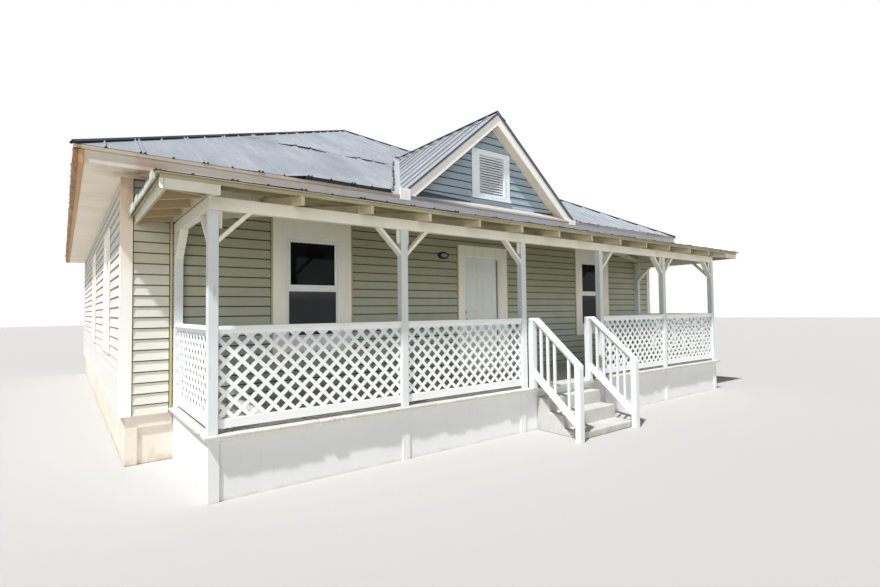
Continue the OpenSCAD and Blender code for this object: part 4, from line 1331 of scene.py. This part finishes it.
@dataclass
class RibbedSheets:
    """Galvanized sheets with five ribs: one in the middle and a pair at each side lap."""

    cover: float = 0.639
    edge: float = 0.03
    rib_h: float = 0.02
    rib_w: float = 0.017
    crest: float = 0.003
    seat: float = 0.004
    pair: float = 0.042
    gauge: float = 0.0014
    course: float = 2.5
    upper: float = 4.6
    lap: float = 0.16
    step: float = 0.004
    row: float = 0.45
    # Strips of painted shadow under the sheets' edges, and painted shade on one flank of each rib
    shadow_seen: float = 0.006
    shadow_deep: float = 0.1
    shade_on_rib: float = 0.7

    def ribs(self) -> tuple[float, ...]:
        """Places of the ribs across one sheet."""
        far = self.edge + self.cover
        return self.edge, self.edge + self.pair, self.edge + self.cover / 2, far, far + self.pair

    def profile(self, rng: random.Random) -> list[Span]:
        """Cross-section of one sheet.

        Args:
            rng: random numbers for its tilt.

        Returns:
            Distance across and height of each of its folds.
        """
        line: list[Span] = [(0.0, 0.0)]
        for rib in self.ribs():
            line += [(rib - self.rib_w, 0.0), (rib - self.crest, self.rib_h), (rib + self.crest, self.rib_h),
                     (rib + self.rib_w, 0.0)]
        line.append((2 * self.edge + self.cover + self.pair, 0.0))
        tilt = rng.uniform(0.0, 0.0015)
        return [(s, h + tilt + (0.002 if s > self.cover else 0.0)) for s, h in line]

    def metal(self, bm: bmesh.types.BMesh, rng: random.Random, plane: RoofPlane, start: float, rise: Span,
              layer: int) -> bmesh.types.BMLayerItem:
        """Shapes the metal of one sheet: ribs, waves and an uneven lower edge.

        Args:
            bm: the sheet's own mesh.
            rng: random numbers.
            plane: the slope.
            start: where its left edge lies along the eave.
            rise: its lower and upper edge up the slope.
            layer: its course, counted from the eave.

        Returns:
            The layer that holds each face's amount of painted shade.
        """
        line = self.profile(rng)
        rows = max(2, round((rise[1] - rise[0]) / self.row))
        bmesh.ops.create_grid(bm, x_segments=len(line) - 1, y_segments=rows, size=1.0)
        uv = bm.loops.layers.uv.new("sheet")
        shade = bm.faces.layers.float.new("board")
        dark = bm.faces.layers.float.new("gap")
        number = rng.random()
        waves = rng.uniform(0.0, 40.0)
        ragged = rng.uniform(-0.008, 0.004)
        place = {}
        for vert in bm.verts:
            col = round((vert.co.x + 1) / 2 * (len(line) - 1))
            row = (vert.co.y + 1) / 2
            at_edge = row < 0.001
            across, h = line[col]
            s, t = start + across, part(rise, row) + (ragged if at_edge else 0.0)
            h += self.seat
            if at_edge:
                wave = noise.noise(Vector((s, waves, layer)) * 1.7)
                h += self.step * (layer > 0) + max(0.0, wave) * (0.03 if layer else 0.012)
                h += plane.lift(s, layer)
            h += 0.002 * noise.noise(Vector((s, t * 0.8, plane.half)) * 2.3)
            place[vert] = (s, t, col)
            vert.co = plane.point(s, t, h)
        for face in bm.faces:
            face[shade] = number
            # Painted shade on one flank of each rib
            columns = sorted(place[v][2] for v in face.verts)
            on_rib = columns[0] % 4 == 3 and columns[-1] % 4 == 0
            face[dark] = self.shade_on_rib if on_rib else 0.0
            for loop in face.loops:
                loop[uv].uv = place[loop.vert][:2]
        return dark

    def shadow_strips(self, bm: bmesh.types.BMesh, dark: bmesh.types.BMLayerItem, plane: RoofPlane, start: float,
              foot: float, layer: int) -> None:
        """Adds dark strips of painted shadow under the sheet's lower edge, and under its ribs at the eave.

        Args:
            bm: the sheet's own mesh.
            dark: the layer that holds each face's amount of painted shade.
            plane: the slope.
            start: where the sheet's left edge lies along the eave.
            foot: its lower edge up the slope.
            layer: its course, counted from the eave.
        """
        tall = 0.003 + self.step * (layer > 0) + plane.lift(start + self.cover / 2, layer)
        half = self.rib_w * 0.6
        shadow_strips = [(0.0, self.cover, tall)]
        shadow_strips += [(rib - half, rib + half, self.rib_h * 0.8 + tall) for rib in self.ribs()[1:4] if not layer]
        for near, far, top in shadow_strips:
            shadow_block = bmesh.ops.create_cube(bm, size=1.0)["verts"]
            for vert in shadow_block:
                s, t, h = (float(c > 0) for c in vert.co)
                up = foot + self.shadow_seen + t * self.shadow_deep
                vert.co = plane.point(start + part((near, far), s), up, -0.002 + h * top * (1 - 0.6 * t))
            for face in {f for v in shadow_block for f in v.link_faces}:
                face[dark] = 1.0

    def sheet(self, shop: Shop, plane: RoofPlane, start: float, rise: Span, layer: int) -> None:
        """Adds one sheet to the roof with its strips of painted shadow, trimmed at hips and valleys.

        Args:
            shop: mesh that collects the sheets.
            plane: the slope.
            start: where its left edge lies along the eave.
            rise: its lower and upper edge up the slope.
            layer: its course, counted from the eave.
        """
        bm = bmesh.new()
        dark = self.metal(bm, shop.rng, plane, start, rise, layer)
        self.shadow_strips(bm, dark, plane, start, rise[0], layer)
        for point, waste in plane.all_cuts():
            geom = [*bm.verts, *bm.edges, *bm.faces]
            bmesh.ops.bisect_plane(bm, geom=geom, plane_co=point, plane_no=waste, clear_outer=True)
        if bm.faces:
            mesh = bpy.data.meshes.new("one_sheet")
            bm.to_mesh(mesh)
            shop.bm.from_mesh(mesh)
            bpy.data.meshes.remove(mesh)
        bm.free()

    def cover_plane(self, plane: RoofPlane, seed: int, finish: Finish, overhang: float = -0.004) -> None:
        """Covers one slope.

        Args:
            plane: the slope.
            seed: for its random numbers.
            finish: the sheets' finish.
            overhang: how far the sheets pass the eave.
        """
        shop = Shop(seed)
        shop.bm.loops.layers.uv.new("sheet")
        top = plane.rise_run * math.sqrt(1 + plane.slope ** 2)
        start = plane.phase - math.ceil((plane.half + plane.phase) / self.cover) * self.cover - 0.05
        while start < plane.half:
            low, layer = -overhang, 0
            while low < top - 0.05:
                high = min(top, low + (self.upper if layer else self.course) + shop.rng.uniform(-0.02, 0.02))
                self.sheet(shop, plane, start, (low, high + self.lap * (high < top)), layer)
                low, layer = high, layer + 1
            start += self.cover
        add_gauge(shop.piece(plane.name, finish, "roof", recalc=False), self.gauge)


@dataclass
class RolledCaps:
    """Rolled caps along hips and ridges, and flat flashings along valleys, in lengths that lap."""

    flange: float = 0.034
    roll: float = 0.008
    height: float = 0.027
    flat_height: float = 0.002
    hem: float = 0.002
    turn_down: float = 0.021
    length: float = 3.0
    lap: float = 0.08
    gauge: float = 0.0016

    def flange_points(self, side: Vector, normal: Vector, width: float, rolled: bool) -> list[Vector]:
        """Folds of one flange, from its outer edge to the roll.

        Args:
            side: direction away from the line on this slope.
            normal: direction out of the slope.
            width: the flange's width.
            rolled: whether the line has a roll, and so a flange that is turned down.

        Returns:
            The folds, from a point on the line.
        """
        low = self.height if rolled else self.flat_height
        return [side * width + normal * (low - self.turn_down * rolled),
                side * (width - self.hem) + normal * low,
                side * self.roll + normal * low]

    def line(self, shop: Shop, foot: Vector, head: Vector, normals: tuple[Vector, Vector], roll: bool = True,
             flanges: Span = (1.0, 1.0)) -> Vector:
        """Adds the caps along one line.

        Args:
            shop: mesh that collects them.
            foot: lower end of the line, on the roof's surface.
            head: its upper end.
            normals: outward directions of the two slopes that meet at it.
            roll: whether it has a round roll, as on a hip, or is a flat flashing.
            flanges: width of each side, as a share of the usual flange.

        Returns:
            Direction away from the line on the second slope.
        """
        run = (head - foot).normalized()
        across = (head - foot).length
        middle = (normals[0] + normals[1]).normalized()
        sides = []
        for normal, other in zip(normals, reversed(normals)):
            side = normal.cross(run)
            leaning = side.dot(other) * (1 if roll else -1)
            sides.append(side if leaning < 0 else -side)
        near, far = (self.flange_points(side, normal, self.flange * share, roll)
                     for side, normal, share in zip(sides, normals, flanges))
        flat = (sides[0] - sides[1]).normalized()
        steps = 8 if roll else 0
        arc = [flat * self.roll * math.cos(math.pi * k / steps)
               + middle * (self.height + self.roll * 1.3 * math.sin(math.pi * k / steps))
               for k in range(1, steps)]
        profile = [*near, *arc, *reversed(far)]
        count = max(1, round(across / self.length))
        for k in range(count):
            reach = (across * k / count, across * (k + 1) / count + (self.lap if k < count - 1 else 0.0))
            folds = len(profile) - 1
            grid = bmesh.ops.create_grid(shop.bm, x_segments=folds, y_segments=4, size=1.0)["verts"]
            for vert in grid:
                place = profile[round((vert.co.x + 1) / 2 * folds)]
                share = (vert.co.y + 1) / 2
                sway = 0.004 * noise.noise(Vector((k * 3.1 + share * 2.0, across, 0.5))) + 0.003 * (1 - share)
                out = sway if roll else 0.001 * (k % 2)
                vert.co = foot + run * part(reach, share) + place + middle * out
            shop.mark(grid)
        return sides[1]

    def finish(self, shop: Shop, name: str, finish: Finish) -> bpy.types.Object:
        """Turns the strips into one piece with the gauge of sheet metal.

        Args:
            shop: mesh that holds them.
            name: the piece's name.
            finish: its finish.

        Returns:
            The piece.
        """
        for face in shop.bm.faces:
            face.normal_update()
            if face.normal.z < 0:
                face.normal_flip()
        return add_gauge(shop.piece(name, finish, "roof", smooth=True, recalc=False), self.gauge)


@dataclass
class Roofs:
    """Ribbed sheets on the hip roof, the gable and the porch, with their caps, flashings and edges."""

    sheets: RibbedSheets = field(default_factory=RibbedSheets)
    porch_sheets: RibbedSheets = field(default_factory=lambda: RibbedSheets(rib_h=0.011))
    caps: RolledCaps = field(default_factory=RolledCaps)
    valley: float = 0.13
    valley_flanges: Span = (1.4, 3.8)
    front_phase: float = -5.438
    loose: tuple[tuple[float, float, float, int], ...] = (
        (-3.62, -2.0, 0.045, 0), (-2.95, -2.3, 0.016, 1), (-1.9, -1.3, 0.02, 1))
    gable_reach: float = 4.2
    porch_level: float = 2.9236
    porch_slope: float = 0.165
    porch_half: float = 5.527
    porch_run: float = 2.13
    porch_side_half: float = 2.2
    porch_side_run: float = 2.1
    porch_flashing: float = 0.028
    end_step: float = 0.012
    apron_in: float = 0.19
    apron_level: float = 3.5015
    apron_deep: float = 0.2
    apron_rise: float = 0.1067
    apron_t: float = 0.003
    apron_drop: float = 0.03

    def main_planes(self) -> list[RoofPlane]:
        """The four slopes of the hip roof; the front one is split at the gable's valleys."""
        s = SIZES
        out = s.eave_out + s.lip
        half_x, half_y = s.side + out, (s.back - s.front) / 2 + out
        level = s.roof_level - s.slope * s.lip
        middle = Vector((0, (s.front + s.back) / 2, level))
        planes = []
        for name, outward, reach, half in (("back_roof_sheets", BACK, half_y, half_x),
                                           ("left_roof_sheets", -RIGHT, half_x, half_y),
                                           ("right_roof_sheets", RIGHT, half_x, half_y)):
            planes.append(RoofPlane(name, middle + outward * reach, outward, s.slope, half, half_x, 0.1))
        ratio = s.gable_slope / s.slope
        for side, name in ((-1, "front_roof_sheets_left"), (1, "front_roof_sheets_right")):
            eave = Vector((0, s.front - out, level))
            valley = (RIGHT * -side * ratio - BACK).normalized()
            foot = Vector((side * (s.gable_half + 0.01), s.eave_line, 0)) - valley * self.valley
            cuts = [(Vector((0, 0, 0)), RIGHT * -side), (foot, valley)]
            planes.append(RoofPlane(name, eave, -BACK, s.slope, half_x, half_x, self.front_phase,
                                    (side < 0, side > 0), cuts, self.loose))
        return planes

    def gable_planes(self) -> list[RoofPlane]:
        """The two slopes of the front gable."""
        s = SIZES
        planes = []
        ratio = s.gable_slope / s.slope
        half = s.gable_half + s.lip
        front = s.eave_line - s.lip
        for side, name in ((-1, "gable_sheets_left"), (1, "gable_sheets_right")):
            eave = Vector((side * half, front, s.roof_level - s.gable_slope * s.lip))
            foot = Vector((side * (s.gable_half - 0.01), s.eave_line, 0))
            valley = (RIGHT * side * ratio + BACK).normalized()
            cuts = [(BACK * (front - 0.004), -BACK), (foot, valley)]
            planes.append(RoofPlane(name, eave, RIGHT * side, s.gable_slope, self.gable_reach, half, 0.1,
                                    (False, False), cuts))
        return planes

    def porch_planes(self) -> list[RoofPlane]:
        """The three low slopes over the porch."""
        s = SIZES
        level, half, run = self.porch_level, self.porch_half, self.porch_run
        wall = (BACK * (s.front - self.porch_flashing), BACK)
        planes = [RoofPlane("porch_sheets_front", Vector((0, s.front - run, level)), -BACK, self.porch_slope,
                            half, run, 0.2, (True, True), [wall])]
        for side, name in ((-1, "porch_sheets_left"), (1, "porch_sheets_right")):
            eave = Vector((side * half, s.front, level))
            corner = (eave - BACK * run, Vector((-side, -1, 0)).normalized())
            planes.append(RoofPlane(name, eave, RIGHT * side, self.porch_slope, self.porch_side_half,
                                    self.porch_side_run, 0.15, (False, False), [wall, corner]))
        return planes

    def cap_lines(self) -> None:
        """Puts the rolled caps on the hips and ridges, and the flashings in the valleys."""
        s = SIZES
        out = s.eave_out + s.lip
        level = s.roof_level - s.slope * s.lip
        half = s.side + out
        ends = {-1: s.front - out, 1: s.back + out}
        ridge = {k: Vector((0, y - k * half, level + s.slope * half)) for k, y in ends.items()}
        lean = {k: Vector((k * s.slope, 0, 1)).normalized() for k in (-1, 1)}
        tilt = {k: Vector((0, k * s.slope, 1)).normalized() for k in (-1, 1)}
        slant = {k: Vector((k * s.gable_slope, 0, 1)).normalized() for k in (-1, 1)}
        shop = Shop(240)
        for end, y in ends.items():
            for side in (-1, 1):
                self.caps.line(shop, Vector((side * half, y, level)), ridge[end], (lean[side], tilt[end]))
        self.caps.line(shop, ridge[-1], ridge[1], (lean[-1], lean[1]))
        top = s.roof_level + s.gable_slope * s.gable_half
        front, reach = s.eave_line, s.gable_slope * s.gable_half / s.slope
        self.caps.line(shop, Vector((0, front - 0.004, top)), Vector((0, front + reach - 0.05, top)),
                       (slant[-1], slant[1]))
        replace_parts(self.caps.finish(shop, "rolled_caps", Finishes.CAP), "roof_caps")
        shop = Shop(241)
        for side in (-1, 1):
            foot = Vector((side * s.gable_half, front, s.roof_level))
            head = Vector((0, front + reach, top))
            head += (head - foot).normalized() * 0.1
            beside = self.caps.line(shop, foot, head, (slant[side], tilt[-1]), False, self.valley_flanges)
            self.painted_valley_shadow(shop, foot, head, beside, tilt[-1])
        self.caps.finish(shop, "valley_flashings", Finishes.FLASHING)

    def painted_valley_shadow(self, shop: Shop, foot: Vector, head: Vector, beside: Vector, normal: Vector) -> None:
        """Adds strips painted dark as shadow, unevenly, along the cut edge of the sheets beside a valley.

        Args:
            shop: mesh that collects the strips.
            foot: lower end of the valley.
            head: its upper end.
            beside: direction away from the valley on the cut sheets' slope.
            normal: direction out of that slope.
        """
        share = 0.02
        while share < 0.8:
            end = share + shop.rng.uniform(0.03, 0.1)
            width, tall = shop.rng.uniform(0.012, 0.035), shop.rng.uniform(0.012, 0.03)
            away = self.valley * 1.09 - shop.rng.uniform(0.0, 0.02)
            shop.shaped(lambda s, out, z: foot + (head - foot) * part((share, end), s)
                        + beside * (away - width * out) + normal * (0.003 + tall * z), 1.0)
            share = end + shop.rng.choice((0.0, 0.0, 0.03))

    def porch_metal_edge(self) -> None:
        """Adds the pale, stepped sheet ends along the two short edges of the porch roof, with a slit painted
        dark as shade after each.
        """
        low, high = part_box("porch_roof")
        level = self.porch_level + self.end_step
        shop = Shop(242)
        for side in (-1, 1):
            at = low.y + 0.05
            while at < SIZES.front - 0.1:
                end = min(SIZES.front - 0.06, at + shop.rng.uniform(0.14, 0.3))
                drop, out = shop.rng.uniform(0.04, 0.075), shop.rng.uniform(0.006, 0.02)
                near, far = sorted((side * (high.x - 0.002), side * (high.x + out)))
                rise = shop.rng.uniform(0.0, 0.01)
                shop.board((near, at, level - 0.016 - drop), (far, end - 0.01, level + rise))
                # Slit of painted shade after each sheet end
                shop.board((near, end - 0.01, level - 0.05), (near + 0.004, end, level - 0.002), 1.0)
                at = end
        shop.piece("porch_sheet_ends", Finishes.SHEET_END, "roof")

    def gable_apron(self) -> None:
        """Folds a pale strip of metal over the roof's edge below the gable's wall."""
        half, edge, level = SIZES.gable_half - self.apron_in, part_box("main_roof")[0].y, self.apron_level
        shop = Shop(224)
        shop.shaped(lambda s, out, z: Vector((half * (2 * s - 1), edge + out * self.apron_deep,
                                              level + out * self.apron_rise + z * self.apron_t)))
        shop.board((-half, edge - self.apron_t, level - self.apron_drop),
                   (half, edge - 0.0005, level + self.apron_t))
        shop.piece("gable_foot_apron", Finishes.APRON, "roof")

    def build(self) -> None:
        """Covers every slope."""
        for sheets, planes, seed, finish, overhang in (
                (self.sheets, self.main_planes(), 200, Finishes.ROOF, -0.004),
                (self.sheets, self.gable_planes(), 210, Finishes.GABLE_ROOF, -0.004),
                (self.porch_sheets, self.porch_planes(), 220, Finishes.PORCH_ROOF, self.end_step)):
            for k, plane in enumerate(planes):
                sheets.cover_plane(plane, seed + k, finish, overhang)
        self.cap_lines()
        self.porch_metal_edge()
        self.gable_apron()
        dress("main_roof", Finishes.DRIP)
        dress("gable_roof", Finishes.DARK_EDGE)
        dress("porch_roof", Finishes.UNDERSIDE)


@dataclass
class Shell:
    """Walls, foundation, floor and ceiling, with their outer trim."""

    foot_x: Span = (0.02, -0.165)
    foot_y: Span = (-0.036, 0.004)
    foot_low: float = -0.05
    foot_high: tuple[float, float] = (0.13, 0.05)
    skin_t: float = 0.023
    slit: float = 0.005
    strip_x: Span = (0.024, 0.07)
    strip_y: float = -0.009
    strip_z: Span = (-0.012, -0.012)

    def rake_feet(self) -> None:
        """Adds the plumb-cut blocks at the feet of the gable's rake boards, the left one taller."""
        s = SIZES
        for side, name, high in ((-1, "rake_foot_left", self.foot_high[0]),
                                 (1, "rake_foot_right", self.foot_high[1])):
            shop = Shop(255 + side)
            near, far = sorted(side * (s.gable_half + x) for x in self.foot_x)
            shop.board((near, s.eave_line + self.foot_y[0], s.eave + self.foot_low),
                       (far, s.eave_line + self.foot_y[1], s.eave + high))
            shop.ease(0.003)
            shop.piece(name, Finishes.PIER, "trim")

    def rusty_eave(self) -> None:
        """Adds the tan strip under the left eave board and the rusted, saw-toothed sheet ends outside it,
        with slits painted dark as shade between the ends and a dark block at the front corner.
        """
        low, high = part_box("fascia")
        shop = Shop(250)
        at = low.y - 0.008
        inner = low.x + self.skin_t
        while at < high.y - 0.1:
            end = min(high.y - 0.004, at + shop.rng.uniform(0.08, 0.26))
            drop = shop.rng.uniform(0.004, 0.012)
            out = shop.rng.uniform(0.003, 0.03)
            shop.board((low.x - out, at, low.z - drop), (inner, end - self.slit, high.z - 0.004))
            # Slit of painted shade after each sheet end
            shop.board((low.x - 0.002, end - self.slit, low.z - 0.003), (inner, end, high.z - 0.008), 1.0)
            at = end
        shop.board((low.x - 0.012, low.y - 0.012, high.z - 0.03),
                   (low.x + 0.045, low.y + 0.04, high.z + 0.012), 1.0)
        shop.piece("rusty_eave_skin", Finishes.RUSTY, "trim")
        shop = Shop(251)
        shop.board((low.x + self.strip_x[0], low.y + self.strip_y, low.z + self.strip_z[0]),
                   (low.x + self.strip_x[1], high.y, high.z + self.strip_z[1]))
        shop.ease(0.003)
        shop.piece("left_eave_strip", Finishes.EAVE_STRIP, "trim")

    def build(self) -> None:
        """Dresses the nodes of the house's shell."""
        for name in ("front_wall_left", "front_wall_right", "front_wall_over_door", "left_wall", "right_wall",
                     "back_wall", "gable_wall", "ceiling"):
            dress(name, Finishes.PLASTER)
        dress("house_floor", Finishes.FLOOR)
        dress("foundation", Finishes.BLOCK, 0.012, 3)
        for name, finish in (("corner_boards", Finishes.CORNER), ("window_trim", Finishes.SURROUND),
                             ("window_frames", Finishes.VINYL), ("window_sashes", Finishes.VINYL),
                             ("fascia", Finishes.FASCIA), ("gable_rake_boards", Finishes.RAKE)):
            dress(name, finish, 0.003)
        dress("window_glass", Finishes.GLASS)
        dress("soffits", Finishes.SOFFIT)
        dress("gable_vent", Finishes.LOUVRE, 0.0015)
        dress("door_frame", Finishes.SURROUND, 0.004)
        dress("door_hinges", Finishes.STEEL, 0.0006)
        dress("front_door", Finishes.DOOR, 0.003, 3)
        self.rusty_eave()
        self.rake_feet()


@dataclass
class Porch:
    """Deck, skirt, posts, rails, lattice and the porch roof's timber."""

    board_w: float = 0.138
    board_t: float = 0.028
    gap: float = 0.003
    half: float = 5.1
    lip: float = 1.89
    thick: float = 0.05
    rim_in: float = 0.02
    rim_t: float = 0.025
    play: float = 0.001
    steps_bay: Span = (-0.8, 0.98)

    def deck_boards(self) -> None:
        """Lays the deck boards from the wall to their uneven front ends."""
        s = SIZES
        shop = Shop(300)
        count = round(2 * self.half / self.board_w)
        width = 2 * self.half / count
        for k in range(count):
            left = -self.half + k * width
            end = s.front - self.lip + shop.rng.uniform(-0.004, 0.012)
            drop = shop.rng.uniform(0.0, 0.0015)
            shop.board((left + self.gap / 2, end, s.deck - self.board_t),
                       (left + width - self.gap / 2, s.front, s.deck - drop))
        shop.ease(0.003)
        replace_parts(shop.piece("deck_boards", Finishes.DECK, "deck"), "porch_floor")

    def deck_rim(self) -> None:
        """Closes the deck with a board under its front ends, one at each side and a slab below the boards."""
        shop = Shop(301)
        low, high = SIZES.deck - self.thick, SIZES.deck - self.board_t - self.play / 2
        front = SIZES.front - self.lip + self.board_t
        behind, wall = front + self.rim_t + self.play, SIZES.front - self.play
        ends = self.half - self.rim_in
        shop.board((-ends, front, low), (ends, front + self.rim_t, high))
        for side in (-1, 1):
            x = side * (self.half - 0.032)
            shop.board((x - self.rim_t / 2, behind, low), (x + self.rim_t / 2, wall, high))
        shop.board((-self.half + 0.06, behind, high - 0.006), (self.half - 0.06, wall, high))
        shop.ease(0.002)
        shop.piece("deck_rim", Finishes.WHITE, "deck")

    def knee_braces(self) -> None:
        """Copies the knee braces without the two over the steps, which the photograph doesn't show."""
        shop = Shop(310)
        for form in shop.copy_of("knee_braces"):
            across = sum(vert.co.x for vert in form) / len(form)
            shop.mark(form)
            if self.steps_bay[0] < across < self.steps_bay[1]:
                bmesh.ops.delete(shop.bm, geom=form, context="VERTS")
        shop.ease(0.003, 2)
        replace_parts(shop.piece("porch_knee_braces", Finishes.WHITE, "trim"), "knee_braces")

    def build(self) -> None:
        """Builds the deck and braces and dresses the porch's nodes."""
        self.deck_boards()
        self.deck_rim()
        self.knee_braces()
        for name in ("porch_posts", "stair_posts", "stair_balusters"):
            dress(name, Finishes.WHITE_POST, 0.004)
        for name, finish in (("porch_skirt", Finishes.SKIRT), ("porch_beams", Finishes.WHITE),
                             ("porch_rails", Finishes.RAIL), ("stair_rails", Finishes.RAIL),
                             ("rafters", Finishes.RAFTER), ("porch_roof_edge", Finishes.EDGE_BOARD),
                             ("porch_purlins", Finishes.RAW_BOARD)):
            dress(name, finish, 0.003)
        for bay in ("1", "2", "3", "4", "left", "right"):
            dress(f"lattice_{bay}", Finishes.LATTICE)
        dress("steps", Finishes.CONCRETE, 0.02, 4)


@dataclass
class Studio:
    """Pale floor, soft light and the camera at the photograph's place."""

    lens: float = 20.305
    sensor: float = 36.0
    yaw: float = 37.282
    pitch: float = 2.001
    roll: float = -0.672
    eye: tuple[float, float, float] = (-6.125, -11.3405, 1.74)
    far: float = 300.0
    sun: tuple[float, float, float] = (-0.48, -0.2, 0.855)
    sun_strength: float = 5.3
    sun_angle: float = 2.0
    fill_from: tuple[float, float, float] = (-0.5, -0.85, 0.08)
    fill_strength: float = 1.7
    fill_angle: float = 45.0
    sky: str = "#E4EDFF"
    sky_strength: float = 0.1
    floor_radius: float = 90.0
    floor_lit: str = "#B3B1AA"
    floor_seen: str = "#B3B2B0"

    def camera(self) -> None:
        """Sets the camera up."""
        data = bpy.data.cameras.new("view")
        data.lens = self.lens
        data.sensor_width = self.sensor
        data.clip_end = self.far
        camera = bpy.data.objects.new("view", data)
        bpy.context.scene.collection.objects.link(camera)
        yaw, pitch, roll = (math.radians(a) for a in (self.yaw, self.pitch, self.roll))
        ahead = Vector((math.sin(yaw) * math.cos(pitch), math.cos(yaw) * math.cos(pitch), math.sin(pitch)))
        right = Vector((math.cos(yaw), -math.sin(yaw), 0.0))
        above = right.cross(ahead)
        across = right * math.cos(roll) + above * math.sin(roll)
        upright = above * math.cos(roll) - right * math.sin(roll)
        turn = Matrix((across, upright, -ahead)).transposed().to_4x4()
        camera.matrix_world = Matrix.Translation(Vector(self.eye)) @ turn
        bpy.context.scene.camera = camera

    def seen(self, tree: bpy.types.NodeTree) -> Socket:
        """1 for rays that show the backdrop: straight from the camera, off metal or through glass."""
        path = add_node(tree, "ShaderNodeLightPath").outputs
        first = add_node(tree, "ShaderNodeMath", links={0: path["Is Camera Ray"], 1: path["Is Glossy Ray"]},
                         operation="MAXIMUM")
        return add_node(tree, "ShaderNodeMath", links={0: first.outputs[0], 1: path["Is Transmission Ray"]},
                        operation="MAXIMUM").outputs[0]

    def light(self) -> None:
        """Adds a sun and a wide soft fill from the front."""
        lamps = (("sun", self.sun, self.sun_strength, self.sun_angle),
                 ("soft_fill", self.fill_from, self.fill_strength, self.fill_angle))
        for name, towards, strength, angle in lamps:
            data = bpy.data.lights.new(name, "SUN")
            data.energy = strength
            data.angle = math.radians(angle)
            lamp = bpy.data.objects.new(name, data)
            lamp.rotation_euler = Vector(towards).to_track_quat("Z", "Y").to_euler()
            bpy.context.scene.collection.objects.link(lamp)

    def surround(self) -> None:
        """Puts a faint blue sky round the house that shows as white."""
        world = bpy.data.worlds.new("white_surround")
        bpy.context.scene.world = world
        world.use_nodes = True
        tree = world.node_tree
        tree.nodes.clear()
        lit = add_node(tree, "ShaderNodeBackground",
                       {"Color": linear(self.sky), "Strength": self.sky_strength})
        white = add_node(tree, "ShaderNodeBackground", {"Color": (1.0, 1.0, 1.0, 1.0), "Strength": 1.0})
        mixed = add_node(tree, "ShaderNodeMixShader",
                         links={0: self.seen(tree), 1: lit.outputs[0], 2: white.outputs[0]})
        add_node(tree, "ShaderNodeOutputWorld", links={0: mixed.outputs[0]})

    def floor(self) -> None:
        """Lays the pale floor."""
        bm = bmesh.new()
        bmesh.ops.create_circle(bm, cap_ends=True, segments=96, radius=self.floor_radius)
        mesh = bpy.data.meshes.new("studio_floor")
        bm.to_mesh(mesh)
        bm.free()
        floor = bpy.data.objects.new("studio_floor", mesh)
        bpy.context.scene.collection.objects.link(floor)
        mix = Recipe("pale_studio_floor")
        mesh.materials.append(mix.close(mix.mix(self.floor_lit, self.floor_seen, self.seen(mix.tree)), 0.9))

    def build(self) -> None:
        """Sets up the studio."""
        bpy.context.scene.view_settings.view_transform = "Standard"
        self.camera()
        self.light()
        self.surround()
        self.floor()


def main() -> None:
    """Builds every sub-assembly in order."""
    logging.basicConfig(level=logging.INFO, format="%(message)s")
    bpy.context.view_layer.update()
    Studio().build()
    Shell().build()
    LapSiding().build()
    Entrance().build()
    Roofs().build()
    Porch().build()


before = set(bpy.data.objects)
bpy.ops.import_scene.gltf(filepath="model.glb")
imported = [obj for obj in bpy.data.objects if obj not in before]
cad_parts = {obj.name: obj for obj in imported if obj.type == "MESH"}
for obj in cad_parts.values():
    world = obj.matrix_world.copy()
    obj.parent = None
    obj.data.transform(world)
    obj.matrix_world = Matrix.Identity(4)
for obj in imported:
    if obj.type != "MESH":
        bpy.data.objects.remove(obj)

if __name__ == "__main__":
    main()
